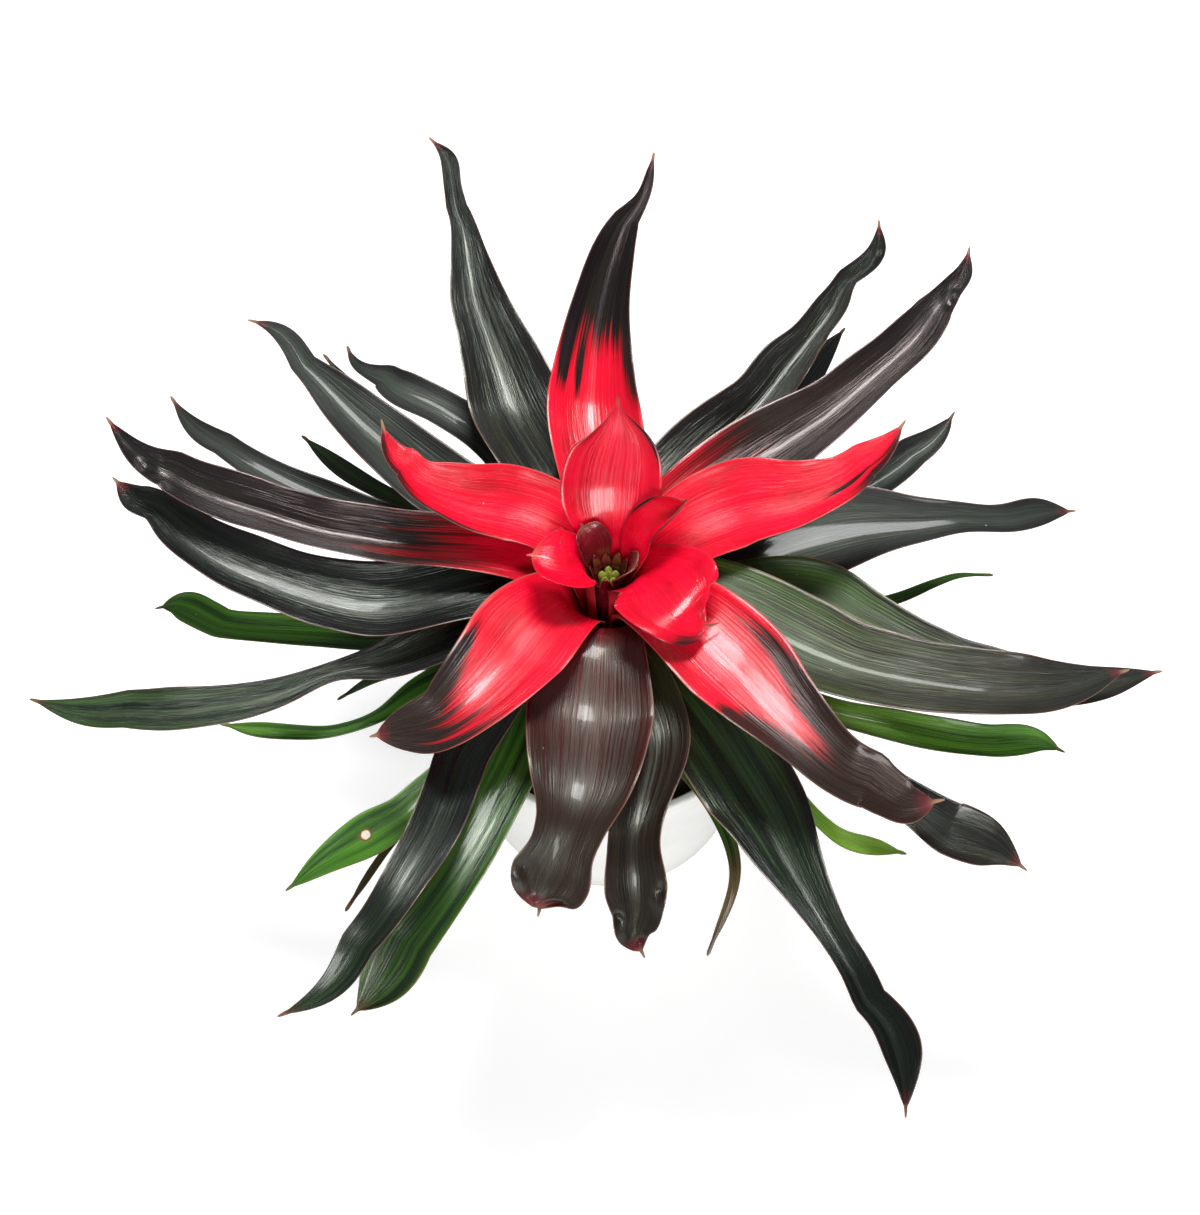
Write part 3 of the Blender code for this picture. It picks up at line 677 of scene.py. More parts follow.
def ripples(look, rows, across, half, phase):
    """What stands up from the trough: margin waves that grow with the cube of the place across, flutes as
    cosines across the blade, and puckers, each a cosine of the distance that dies away as a bell."""
    run = rows.places * rows.length
    size = np.clip(half / FULL_SIZE_HALF, 0, 1.2)[:, None]
    left_wave = waves(run, MARGIN_WAVES, phase[0:2])
    right_wave = waves(run, OTHER_MARGIN_WAVES, phase[2:4])
    wave = np.where(across > 0, left_wave, right_wave) * np.abs(across) ** 3
    broad, narrow = FLUTE_DEPTHS
    flutes = broad * np.cos(across * 5 + phase[4])
    flutes = flutes + narrow * np.cos(across * 14 + phase[5] + run[:, None] / 50)
    lift = size * ease(rows.blade, 0.15, 0.6)[:, None] * wave
    lift = lift + size * ease(rows.blade, 0.0, 0.2)[:, None] * flutes * (1 - across**4)
    for share, place, spread, depth in look.dents:
        lengthways = (rows.blade - share)[:, None] * rows.blade_length
        away = np.hypot(lengthways, (across - place) * half[:, None]) / spread
        lift = lift - depth * np.cos(2.2 * away) * np.exp(-(away**2))
    return lift


print("a section has", ACROSS + 1, "points, and the sheath folds up", COLLAR_FOLD, "degrees at the collar")

# %% [markdown]
# ## The sheath, and the whole upper face
# Round the cup a leaf is no trough but part of a tube about the plant's axis, so that it wraps the younger
# leaves inside it. Both shapes are worked out for every row, and a smooth step goes from one to the other.

# %% Leaf sheet
WIDEST_WRAP = 49
WRAP_UNTIL = 0.8  # of the way to the collar, where the tube begins to open
OPEN_AT = 0.7  # of the way from the collar to the blade's middle, where it is all trough


def sheath_sheet(midrib, across, half):
    """Rows that are arcs about the plant's axis, each through its midrib point and as long as the leaf is
    wide, up to the widest wrap on either side."""
    radius = np.hypot(midrib[:, 0], midrib[:, 1])
    wrap = np.minimum(half / radius, math.radians(WIDEST_WRAP))[:, None] * across
    angle = np.arctan2(midrib[:, 1], midrib[:, 0])[:, None] + wrap
    height = np.broadcast_to(midrib[:, 2:], angle.shape)
    return np.stack([radius[:, None] * np.cos(angle), radius[:, None] * np.sin(angle), height], axis=-1)


def leaf_sheet(leaf, look, seed):
    """The upper face as a grid: rows from foot to tip, columns from right margin to left margin. It
    returns the points, each row's share of the blade, its metres along the midrib and its half width, and
    each column's place across."""
    rows = leaf_rows(leaf)
    left_margin, right_margin = margin_moves(look, rows.blade)
    midrib, leftwards = midrib_line(leaf, rows, (left_margin - right_margin) / 2)
    half = half_widths(leaf, rows, (left_margin + right_margin) / 2)
    across = np.linspace(-1, 1, ACROSS + 1)
    phase = np.random.default_rng(seed).uniform(0, 2 * math.pi, 6)
    sideways, lift = trough(leaf, look, rows, across, half)
    lift = lift + ripples(look, rows, across, half, phase)

    along = unit(np.gradient(midrib, rows.places, axis=0))
    left = unit(leftwards - (along @ leftwards)[:, None] * along)
    up = np.cross(along, left)
    blade_sheet = midrib[:, None] + sideways[..., None] * left[:, None] + lift[..., None] * up[:, None]
    sheath = sheath_sheet(midrib, across, half)
    collar, middle = rows.knots[COLLAR], rows.knots[MIDDLE]
    share = ease(rows.places, WRAP_UNTIL * collar, (1 - OPEN_AT) * collar + OPEN_AT * middle)
    points = sheath + (blade_sheet - sheath) * share[:, None, None]
    return points, rows.blade, rows.places * rows.length * MM, half, across


sheet = leaf_sheet(red_back, LOOKS[red_back.name], 1)[0]
print("a leaf's upper face has", sheet.shape[0], "rows of", sheet.shape[1], "points")

# %% [markdown]
# ## From sheet to leaf
# Solidify would give the sheet one thickness all over. A real leaf is thickest along its middle and thins
# to its margins, so the lower face is worked out instead: the upper face moved along its normals by a
# thickness that depends on the place across. The two faces are then one closed skin, with the foot and the
# tip closed too.

# %% Meshes from grids
def grid_normals(points):
    """Unit normals of a grid surface, from the cross product of its two directions."""
    return unit(np.cross(np.gradient(points, axis=0), np.gradient(points, axis=1)))


def quad_grid(number):
    """Four corners for each cell of an array of vertex numbers."""
    cells = np.stack([number[:-1, :-1], number[1:, :-1], number[1:, 1:], number[:-1, 1:]], axis=-1)
    return cells.reshape(-1, 4)


def split_quads(quads):
    """Two triangles for each four corners."""
    return np.concatenate([quads[:, [0, 1, 2]], quads[:, [0, 2, 3]]])


def turned_outwards(points, faces):
    """The faces of a closed skin, turned round if the volume they hold, the sum of corner . (corner x
    corner) over its triangles, comes out negative."""
    triangles = split_quads(faces) if faces.shape[1] == 4 else faces
    corner = points[triangles]
    volume = np.einsum("ij,ij->i", corner[:, 0], np.cross(corner[:, 1], corner[:, 2])).sum()
    return faces if volume > 0 else faces[:, ::-1]


def mesh_from(name, points, faces):
    """A smooth mesh from points in metres and an array of faces that point outwards."""
    mesh = bpy.data.meshes.new(name)
    mesh.from_pydata(points.tolist(), [], faces.tolist())
    mesh.shade_smooth()
    return mesh


print("two by two cells have the corners", quad_grid(np.arange(9).reshape(3, 3)).tolist())

# %% Closed skin
LEAF_THICKNESS = 0.7
MARGIN_THINNING = 0.62
FULL_THICKNESS_HALF = 3  # where the leaf is narrower than this half width, it is thinner as well
LEVEL_ROW = -20  # a row whose normal says which face is the upper one


def leaf_skin(upper, across, half):
    """Points in metres and faces of the closed leaf. The lower face lies under the upper one by a thickness
    that falls with the fourth power of the place across."""
    normal = grid_normals(upper)
    thickness = LEAF_THICKNESS * (1 - MARGIN_THINNING * across**4)
    thickness = thickness * np.clip(half / FULL_THICKNESS_HALF, 0.35, 1)[:, None]
    downwards = -np.sign(normal[LEVEL_ROW, ACROSS // 2, 2])
    lower = upper + normal * thickness[..., None] * downwards
    rows, columns = upper.shape[:2]
    top, under = np.arange(2 * rows * columns).reshape(2, rows, columns)
    ring = np.concatenate([top, under[:, ::-1], top[:, :1]], axis=1)
    foot = quad_grid(np.stack([top[0], under[0]]))
    tip = quad_grid(np.stack([under[-1], top[-1]]))
    points = np.concatenate([upper.reshape(-1, 3), lower.reshape(-1, 3)]) * MM
    return points, turned_outwards(points, np.concatenate([quad_grid(ring), foot, tip]))


print("a leaf is", LEAF_THICKNESS, "mm thick along its middle")

# %% [markdown]
# ## The fields and the UV map
# Each field of the look table becomes one number for each point, which the material reads by its name. The
# UV map is in metres, along the leaf and across it, so that the veins of every leaf are equally fine. It is
# moved a little from leaf to leaf, or all of them would have the same streaks.

# %% Fields and leaf mesh
RED_LIMITS = (-0.3, 1.15)
PATCH_DEPTH = 0.95
TIP_RED_REACH = (2, 11)
POINT_REACH = (2.0, 5.5)
POINT_FULL_TIP = 0.8  # a leaf with a tip at least this red has a wholly tan point
SPOT_SQUEEZE = 0.8  # a spot is a little longer along the leaf than across it
UV_STEPS = (0.37, 0.11)


def colour_fields(look, blade, run, half, across):
    """How red, green, brown and so on each point is, as grids or as numbers that spread over one. Red is a
    straight fall round its share, less a bell for each dark patch. Green and brown go straight from collar
    to tip. Tip and point are smooth steps of the way left to the tip."""
    blade = blade[:, None]
    to_tip = (run[-1] - run)[:, None] / MM
    red = np.clip(0.5 + (look.red - blade) / (2 * look.soft) * 0.5, *RED_LIMITS)
    for share, place, long, wide in look.dark:
        bell = np.exp(-(((blade - share) / long) ** 2) - ((across - place) / wide) ** 2)
        red = red - PATCH_DEPTH * bell
    spot = 0
    for share, place, radius in look.spots:
        lengthways = (blade - share) * (run[-1] - run[0]) / MM * SPOT_SQUEEZE
        away = np.hypot(lengthways, (across - place) * half[:, None])
        spot = np.maximum(spot, 1 - ease(away, 0.4 * radius, 1.6 * radius))
    return {
        "red": red,
        "green": look.green[0] + (look.green[1] - look.green[0]) * blade,
        "brown": look.brown[0] + (look.brown[1] - look.brown[0]) * blade,
        "tip": look.tip * (1 - ease(to_tip, *TIP_RED_REACH)),
        "point": (0.3 + 0.7 * min(look.tip / POINT_FULL_TIP, 1)) * (1 - ease(to_tip, *POINT_REACH)),
        "spot": spot,
        "dull": look.dull,
        "margin": np.abs(across),
    }


def add_field(mesh, name, values):
    """A number for each vertex, which a material reads by its name."""
    field = mesh.attributes.new(name, "FLOAT", "POINT")
    field.data.foreach_set("value", np.ascontiguousarray(values, dtype=np.float32).ravel())


def add_uv(mesh, along, across):
    """A UV map from two numbers for each vertex: metres along, and metres across."""
    layer = mesh.uv_layers.new(name="leaf_uv")
    corner = np.empty(len(mesh.loops), dtype=np.int32)
    mesh.loops.foreach_get("vertex_index", corner)
    pair = np.stack([along[corner], across[corner]], axis=-1)
    layer.data.foreach_set("uv", pair.astype(np.float32).ravel())


def leaf_mesh(leaf, seed):
    """Both faces of the leaf as one closed skin, with its colour fields and a UV map in metres."""
    look = LOOKS[leaf.name]
    upper, blade, run, half, across = leaf_sheet(leaf, look, seed)
    mesh = mesh_from(leaf.name + "_leaf", *leaf_skin(upper, across, half))
    grid = upper.shape[:2]
    for name, values in colour_fields(look, blade, run, half, across).items():
        both_faces = np.tile(np.broadcast_to(values, grid).ravel(), 2)
        add_field(mesh, name, np.clip(both_faces, -1, 2))
    add_field(mesh, "under", np.repeat([0.0, 1.0], grid[0] * grid[1]))
    along = np.broadcast_to(run[:, None], grid) + UV_STEPS[0] * seed
    sideways = np.broadcast_to(across * half.max() * MM, grid) + UV_STEPS[1] * seed
    add_uv(mesh, np.tile(along.ravel(), 2), np.tile(sideways.ravel(), 2))
    return mesh


trial = leaf_mesh(red_back, 1)
print("one leaf has", len(trial.vertices), "points and", 2 * len(trial.polygons), "triangles")
bpy.data.meshes.remove(trial)

# %% [markdown]
# ## Small helpers for materials
# A material is a drawing of boxes and wires. A few helpers keep each drawing short: they set or wire a
# socket, do one sum, make one smooth step, mix two colours, read a field, and make noise and relief.

# %% Wires, sums and colours
def new_material(name):
    """An empty material, its tree of nodes and its Principled shader."""
    material = bpy.data.materials.new(name)
    material.use_nodes = True
    return material, material.node_tree, material.node_tree.nodes["Principled BSDF"]


def put(tree, socket, value):
    """Wires an output to an input, or sets the input to a number or colour."""
    if isinstance(value, bpy.types.NodeSocket):
        tree.links.new(value, socket)
    elif isinstance(value, tuple):
        socket.default_value = (*value, 1)
    else:
        socket.default_value = value


def sums(tree, operation, a, b=0.0, c=0.0):
    """One sum: add, multiply, greater than and so on."""
    box = tree.nodes.new("ShaderNodeMath")
    box.operation = operation
    for socket, value in zip(box.inputs, (a, b, c)):
        put(tree, socket, value)
    return box.outputs[0]


def between(tree, value, low, high, start=0.0, end=1.0):
    """A smooth step from start to end, as the value goes from low to high."""
    box = tree.nodes.new("ShaderNodeMapRange")
    box.interpolation_type = "SMOOTHSTEP"
    put(tree, box.inputs["Value"], value)
    for name, number in (("From Min", low), ("From Max", high), ("To Min", start), ("To Max", end)):
        put(tree, box.inputs[name], number)
    return box.outputs["Result"]


def blend(tree, share, a, b):
    """Colour a, going to colour b as the share goes from 0 to 1."""
    box = tree.nodes.new("ShaderNodeMix")
    box.data_type = "RGBA"
    box.clamp_factor = True
    put(tree, box.inputs["Factor"], share)
    put(tree, box.inputs[6], a)
    put(tree, box.inputs[7], b)
    return box.outputs[2]


print("a new material starts with", [node.name for node in new_material("trial")[1].nodes])
bpy.data.materials.remove(bpy.data.materials["trial"])

# %% Fields, noise and relief
def field(tree, name):
    """A number that the mesh holds for each vertex."""
    box = tree.nodes.new("ShaderNodeAttribute")
    box.attribute_name = name
    return box.outputs["Fac"]


def coordinates(tree, kind="object", scale=(1, 1, 1), move=(0, 0, 0)):
    """Object coordinates or the leaf's own UV map, scaled and moved."""
    mapping = tree.nodes.new("ShaderNodeMapping")
    mapping.inputs["Scale"].default_value = scale
    mapping.inputs["Location"].default_value = move
    if kind == "leaf":
        source = tree.nodes.new("ShaderNodeUVMap")
        source.uv_map = "leaf_uv"
        tree.links.new(source.outputs["UV"], mapping.inputs["Vector"])
    else:
        source = tree.nodes.new("ShaderNodeTexCoord")
        tree.links.new(source.outputs["Object"], mapping.inputs["Vector"])
    return mapping.outputs["Vector"]


def noise(tree, vector, scale=1.0, detail=3.0, roughness=0.5):
    """Cloudy noise from 0 to 1 along a vector."""
    box = tree.nodes.new("ShaderNodeTexNoise")
    tree.links.new(vector, box.inputs["Vector"])
    box.inputs["Scale"].default_value = scale
    box.inputs["Detail"].default_value = detail
    box.inputs["Roughness"].default_value = roughness
    return box.outputs["Fac"]


def bump(tree, height, distance, strength=1.0, onto=None):
    """A normal tilted by a height field, distance in metres."""
    box = tree.nodes.new("ShaderNodeBump")
    box.inputs["Distance"].default_value = distance
    box.inputs["Strength"].default_value = strength
    tree.links.new(height, box.inputs["Height"])
    if onto is not None:
        tree.links.new(onto, box.inputs["Normal"])
    return box.outputs["Normal"]


print("noise and relief helpers:", ", ".join(f.__name__ for f in (field, coordinates, noise, bump)))

# %% [markdown]
# ## The skin of a leaf
# A bromeliad leaf is stiff and waxy, with fine parallel veins that pull every highlight out into long
# streaks. An anisotropic shader can fake that, but the veins also streak the colour, so they are drawn
# once, as noise stretched along the leaf's own UV map, and used for colour, roughness and relief alike.
# The colour is laid on in the order in which the plant does it: a dark skin, then the red flush, then the
# margin, the tip and the point, and last the dry spot and the white specks of scale.

# %% Leaf colours
CRIMSON = (0.84, 0.003, 0.03)
DEEP_RED = (0.38, 0.0, 0.006)
PINK = (0.95, 0.06, 0.09)
CHARCOAL = (0.0055, 0.0072, 0.0075)
RED_LEAF_CHARCOAL = (0.007, 0.006, 0.007)
GREY_GREEN = (0.020, 0.031, 0.020)
PURPLE_BLACK = (0.011, 0.007, 0.011)
BROWN_BLACK = (0.024, 0.011, 0.007)
DRY_OLIVE = (0.13, 0.075, 0.02)
MAROON_BROWN = (0.055, 0.004, 0.005)
MAROON = (0.17, 0.008, 0.014)
DARK_GREEN = (0.008, 0.050, 0.007)
BRIGHT_GREEN = (0.09, 0.27, 0.018)
YELLOW_GREEN = (0.24, 0.42, 0.03)
PALE_VEIN = (0.09, 0.10, 0.08)
TAN = (0.30, 0.13, 0.09)
RED_RIM = (0.22, 0.03, 0.04)
TIP_RED = (0.28, 0.015, 0.03)
POINT_TAN = (0.35, 0.20, 0.12)
UNDERSIDE = (0.06, 0.05, 0.045)
SPOT_BROWN = (0.20, 0.07, 0.02)
SPOT_CREAM = (0.85, 0.78, 0.62)
SCALE_WHITE = (0.6, 0.56, 0.5)
print("the darkest skin reflects", round(100 * sum(CHARCOAL) / 3, 1), "percent of the light")

# %% Skin layers
def dark_skin(tree, bands, veins, fine, dark, dry):
    """Dark skin, grey-green in bands and purple near the margins, then brown and green by their fields."""
    skin = blend(tree, between(tree, bands, 0.4, 0.75, 0.0, 0.7), dark, GREY_GREEN)
    skin = blend(tree, between(tree, field(tree, "margin"), 0.45, 1.0, 0.0, 0.8), skin, PURPLE_BLACK)
    brown_share = sums(tree, "MULTIPLY_ADD", bands, 0.9, sums(tree, "ADD", field(tree, "brown"), -0.45))
    skin = blend(tree, between(tree, brown_share, 0.1, 1.0, 0.0, 0.9), skin, dry)
    skin = blend(tree, between(tree, brown_share, 1.0, 1.8, 0.0, 0.9), skin, MAROON_BROWN)
    skin = blend(tree, between(tree, brown_share, 1.7, 2.1, 0.0, 0.9), skin, MAROON)
    leafy = blend(tree, between(tree, bands, 0.3, 0.7), DARK_GREEN, BRIGHT_GREEN)
    yellowing = between(tree, field(tree, "green"), 1.15, 1.6, 0.0, 0.75)
    leafy = blend(tree, yellowing, leafy, YELLOW_GREEN)
    green_share = sums(tree, "MULTIPLY_ADD", veins, 0.5, sums(tree, "ADD", field(tree, "green"), -0.25))
    skin = blend(tree, between(tree, green_share, 0.1, 1.1), skin, leafy)
    return blend(tree, between(tree, fine, 0.5, 0.8, 0.0, 0.08), skin, PALE_VEIN)


def red_flush(tree, skin, bands, veins, fine, cloud):
    """Red over the skin where the red field is high, its end torn into streaks by the bands and veins."""
    torn = sums(tree, "MULTIPLY_ADD", bands, 1.3, -0.65)
    torn = sums(tree, "MULTIPLY_ADD", veins, 0.9, sums(tree, "ADD", torn, -0.45))
    red_share = between(tree, sums(tree, "ADD", field(tree, "red"), torn), 0.3, 0.7)
    lively = blend(tree, between(tree, cloud, 0.4, 0.8, 0.0, 0.8), CRIMSON, DEEP_RED)
    lively = blend(tree, between(tree, fine, 0.55, 0.8, 0.0, 0.15), lively, PINK)
    lively = blend(tree, between(tree, field(tree, "red"), 0.95, 0.45, 0.0, 0.55), lively, DEEP_RED)
    return blend(tree, red_share, skin, lively)


def rim_and_tip(tree, skin, cloud, rim):
    """A red tip, a thin broken line of rim colour along the margins, a tan point and a dull underside."""
    skin = blend(tree, sums(tree, "MULTIPLY", field(tree, "tip"), 0.8), skin, TIP_RED)
    patchy = between(tree, cloud, 0.3, 0.6, 0.15, 0.75)
    at_rim = sums(tree, "MULTIPLY", between(tree, field(tree, "margin"), 0.97, 0.99), patchy)
    skin = blend(tree, at_rim, skin, rim)
    skin = blend(tree, field(tree, "point"), skin, POINT_TAN)
    return blend(tree, sums(tree, "MULTIPLY", field(tree, "under"), 0.45), skin, UNDERSIDE)


def spots_and_specks(tree, skin):
    """The dry spot, cream with a brown ring, and white specks in some of the cells of a Voronoi pattern."""
    skin = blend(tree, between(tree, field(tree, "spot"), 0.1, 0.35), skin, SPOT_BROWN)
    skin = blend(tree, between(tree, field(tree, "spot"), 0.5, 0.7), skin, SPOT_CREAM)
    specks = tree.nodes.new("ShaderNodeTexVoronoi")
    specks.inputs["Scale"].default_value = 130
    tree.links.new(coordinates(tree), specks.inputs["Vector"])
    chosen = sums(tree, "GREATER_THAN", noise(tree, coordinates(tree), 60, 1), 0.64)
    dot = sums(tree, "MULTIPLY", sums(tree, "LESS_THAN", specks.outputs["Distance"], 0.045), chosen)
    return blend(tree, sums(tree, "MULTIPLY", dot, 0.7), skin, SCALE_WHITE)


print("four layers of colour")

# %% Leaf material
# Each pattern is noise on the UV map: (turns for each metre along, turns for each metre across).
FINE_STREAKS = (10, 2400, 1)
VEINS = (12, 950, 1)
BANDS = (6, 170, 1)
CLOUDS = (34, 60, 1)


def leaf_material(name, shine, dark=CHARCOAL, dry=BROWN_BLACK, rim=TAN, roughness=0.2, relief=1.0):
    """The layers of colour, gloss that the veins and the dull field break up, and two depths of relief."""
    material, tree, shader = new_material(name)
    fine = noise(tree, coordinates(tree, "leaf", FINE_STREAKS), 1, 3, 0.6)
    veins = noise(tree, coordinates(tree, "leaf", VEINS, (3, 1, 0)), 1, 3, 0.55)
    bands = noise(tree, coordinates(tree, "leaf", BANDS, (7, 2, 0)), 1, 2, 0.5)
    cloud = noise(tree, coordinates(tree, "leaf", CLOUDS, (1, 5, 0)), 1, 3, 0.55)
    skin = dark_skin(tree, bands, veins, fine, dark, dry)
    skin = red_flush(tree, skin, bands, veins, fine, cloud)
    skin = rim_and_tip(tree, skin, cloud, rim)
    tree.links.new(spots_and_specks(tree, skin), shader.inputs["Base Color"])
    gloss = between(tree, veins, 0.3, 0.7, roughness - 0.07, roughness + 0.14)
    gloss = sums(tree, "MULTIPLY_ADD", field(tree, "dull"), 0.28, gloss)
    tree.links.new(gloss, shader.inputs["Roughness"])
    shader.inputs["Coat Weight"].default_value = 0.2
    shader.inputs["Coat Roughness"].default_value = 0.1
    shader.inputs["Specular IOR Level"].default_value = 0.5
    shader.inputs["Specular Tint"].default_value = (*shine, 1)
    ridges = bump(tree, veins, 0.0005, 0.8 * relief)
    ridges = bump(tree, fine, 0.0003, 0.8 * relief, ridges)
    tree.links.new(ridges, shader.inputs["Normal"])
    return material


heart_red = leaf_material("heart_leaf_red", (1.0, 0.6, 0.62), rim=RED_RIM, relief=0.5)
red_black = leaf_material("leaf_red_and_black", (1.0, 0.84, 0.82), dark=RED_LEAF_CHARCOAL, relief=0.6)
charcoal = leaf_material("leaf_charcoal", (0.92, 1.0, 0.86), relief=0.75)
leaf_green = leaf_material("leaf_green", (0.85, 1.0, 0.7), dry=DRY_OLIVE, roughness=0.26)
print("leaf materials:", ", ".join(m.name for m in (heart_red, red_black, charcoal, leaf_green)))

# %% [markdown]
# ## Growing the rosette
# Each leaf replaces the plain solid of the same name, so it stands where that solid stands and wears the
# finish of its family. A leaf's number sets its seed, so that the plant comes out the same each time.

# %% Grow the leaves
def place(name, mesh, material, slot_name, *nodes):
    """A finished piece at the origin, riding on the part and standing for the named solids."""
    mesh.materials.append(material)
    piece = bpy.data.objects.new(name, mesh)
    bpy.context.scene.collection.objects.link(piece)
    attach(piece, ROOT)
    if nodes:
        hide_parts(*nodes)
    return piece


FAMILIES = (
    (HEART_LEAVES, heart_red, "heart_leaf_red"),
    (RED_LEAVES, red_black, "leaf_red_and_black"),
    (DARK_LEAVES, charcoal, "leaf_charcoal"),
    (GREEN_LEAVES, leaf_green, "leaf_green"),
)
triangles = 0
for leaves, material, slot_name in FAMILIES:
    for leaf in leaves:
        seed = ALL_LEAVES.index(leaf) + 1
        piece = place("grown_" + leaf.name, leaf_mesh(leaf, seed), material, slot_name, leaf.name)
        triangles += 2 * len(piece.data.polygons)
print("rosette:", triangles, "triangles")

# %% [markdown]
# ## Solids from rings
# Everything else on the plant is a row of closed rings: a bract, a bud, the pot, the mix and the stem.
# Blender's Spin and Screw would turn a profile too, but one helper that joins rings of any shape serves
# both the turned pieces and the lofted ones, and closes both ends with a point in the middle.

# %% Ring solids
def closed_tube(rings):
    """Points and triangles of rings of points joined into a tube, with a point at each end."""
    rows, steps = rings.shape[:2]
    number = np.arange(rows * steps).reshape(rows, steps)
    closed = np.concatenate([number, number[:, :1]], axis=1)
    walls = split_quads(quad_grid(closed))
    low, high = rows * steps, rows * steps + 1
    start = np.stack([np.full(steps, low), closed[0, :-1], closed[0, 1:]], axis=-1)
    end = np.stack([np.full(steps, high), closed[-1, 1:], closed[-1, :-1]], axis=-1)
    points = np.concatenate([rings.reshape(-1, 3), [rings[0].mean(axis=0)], [rings[-1].mean(axis=0)]])
    return points, np.concatenate([walls, start, end])


def turned(profile, steps, ripple=None):
    """A closed solid from a profile of (radius, height) in mm that starts and ends on the axis, turned
    about Z. A ripple moves its points in or out and up or down, as a function of place and angle."""
    ring = np.array(profile, float)[1:-1]
    angle = np.linspace(0, 2 * math.pi, steps, endpoint=False)
    radius = np.repeat(ring[:, :1], steps, axis=1)
    height = np.repeat(ring[:, 1:], steps, axis=1)
    if ripple is not None:
        radius, height = ripple(radius, height, angle)
    return closed_tube(np.stack([radius * np.cos(angle), radius * np.sin(angle), height], axis=-1))


def gathered(name, *solids):
    """One mesh from closed solids, each of them points in mm and triangles."""
    starts = np.cumsum([0] + [len(points) for points, _ in solids])
    faces = [turned_outwards(points, faces) + start for (points, faces), start in zip(solids, starts)]
    points = np.concatenate([points for points, _ in solids]) * MM
    return mesh_from(name, points, np.concatenate(faces))


cone_points, cone_faces = turned([(0, 0), (5, 0), (0, 9)], 12)
print("a cone of twelve sides has", len(cone_points), "points and", len(cone_faces), "triangles")

# %% [markdown]
# ## The flower head
# Down in the cup sits a flat head of maroon bracts, wet with the water that stands there, round a few
# yellow-green buds. Sculpting them would be slow for something so small. Each bract is a small pointed
# boat, a row of flat ovals along a line that leans outwards, and they stand in two rings round a core.

# %% Bracts and buds
HEAD_TOP = 184
HEAD_RADIUS = 5
CORE_FOOT = STEM_HEIGHT[0] + 0.3
CORE_STEPS = 40
# Each ring: how many, the radius and height of their feet, and the radius and height of their tips.
BRACT_RINGS = ((9, 5.0, 176, 8.6, 198), (7, 5.0, 172, 7.6, 192))
BRACT_HALF_WIDTH = 2.7
BRACT_HALF_DEPTH = 0.62
BRACT_HOLLOW = 0.09
# Each bud: the radius and azimuth of its middle, and its height.
BUD_PLACES = ((0, 0, 8), (3.1, 20, 6.5), (3, 95, 7), (3.2, 165, 6.5), (3, 235, 7), (3.1, 305, 6.5))
BUD_RADIUS = 1.8
BUD_RIBS = 0.08
BUD_FOOT = HEAD_TOP + 0.3


def bract(foot, tip, azimuth):
    """A pointed boat: flat ovals along a line that leans outwards, hollow on the inner side by the square
    of the way from its middle, narrowing to a point."""
    t = np.linspace(0, 1, 26)[:, None]
    angle = np.linspace(0, 2 * math.pi, 18, endpoint=False)[None]
    half_width = BRACT_HALF_WIDTH * (1 + 0.35 * t) * np.sqrt(np.clip(1 - t**2.2, 0.0005, 1))
    half_depth = BRACT_HALF_DEPTH * (1 - 0.6 * t)
    leftwards = half_width * np.sin(angle)
    hollow = BRACT_HOLLOW * leftwards**2
    outwards = foot[0] + (tip[0] - foot[0]) * t**1.3 + half_depth * np.cos(angle) - hollow
    height = foot[1] + (tip[1] - foot[1]) * t - 0.3 * half_depth * np.cos(angle)
    turn = math.radians(azimuth)
    x = outwards * math.cos(turn) - leftwards * math.sin(turn)
    y = outwards * math.sin(turn) + leftwards * math.cos(turn)
    return closed_tube(np.stack([x, y, height], axis=-1))


def bud(radius, azimuth, height):
    """A bud: rings whose radius is a half sine, fuller below than above, with five low ribs."""
    turn = math.radians(azimuth)
    t = np.linspace(0.02, 0.98, 12)[:, None]
    angle = np.linspace(0, 2 * math.pi, 14, endpoint=False)[None]
    girth = BUD_RADIUS * np.sin(math.pi * t**0.85) * (1 + BUD_RIBS * np.cos(5 * angle))
    x = radius * math.cos(turn) + girth * np.cos(angle)
    y = radius * math.sin(turn) + girth * np.sin(angle)
    z = BUD_FOOT + 0.5 + height * t + 0 * angle
    return closed_tube(np.stack([x, y, z], axis=-1))


core_profile = [
    (0, HEAD_TOP),
    (HEAD_RADIUS, HEAD_TOP),
    (HEAD_RADIUS + 0.8, HEAD_TOP - 2),
    (HEAD_RADIUS + 1.6, HEAD_TOP - 8),
    (HEAD_RADIUS + 1.3, HEAD_TOP - 20),
    (HEAD_RADIUS + 1, CORE_FOOT),
    (0, CORE_FOOT),
]
bract_solids = [turned(core_profile, CORE_STEPS)]
for count, foot_radius, foot_height, tip_radius, tip_height in BRACT_RINGS:
    for i in range(count):
        azimuth = 360 * (i + 0.5 * (count % 2)) / count
        tip = (tip_radius, tip_height - 2 * (i % 3))
        bract_solids.append(bract((foot_radius, foot_height), tip, azimuth))
disc_profile = [(0, 0), (4.4, 0), (4.4, 0.8), (3.5, 1.5), (0, 1.5)]
disc = turned([(radius, BUD_FOOT + height) for radius, height in disc_profile], 24)
bud_solids = [disc] + [bud(*numbers) for numbers in BUD_PLACES]
print(len(bract_solids) - 1, "bracts round a core, and", len(bud_solids) - 1, "buds on a disc")

# %% [markdown]
# ## The finish of the flower head
# Bracts and buds have the same thin waxy skin, with cloudy colour and faint upright veins, and stand in
# water. A film of water is its own smooth layer over the skin, and that is what a clear coat is.

# %% Wet skin
BRACT_MAROON = ((0.10, 0.004, 0.010), (0.22, 0.008, 0.02))
BUD_GREEN = ((0.30, 0.36, 0.04), (0.45, 0.50, 0.10))


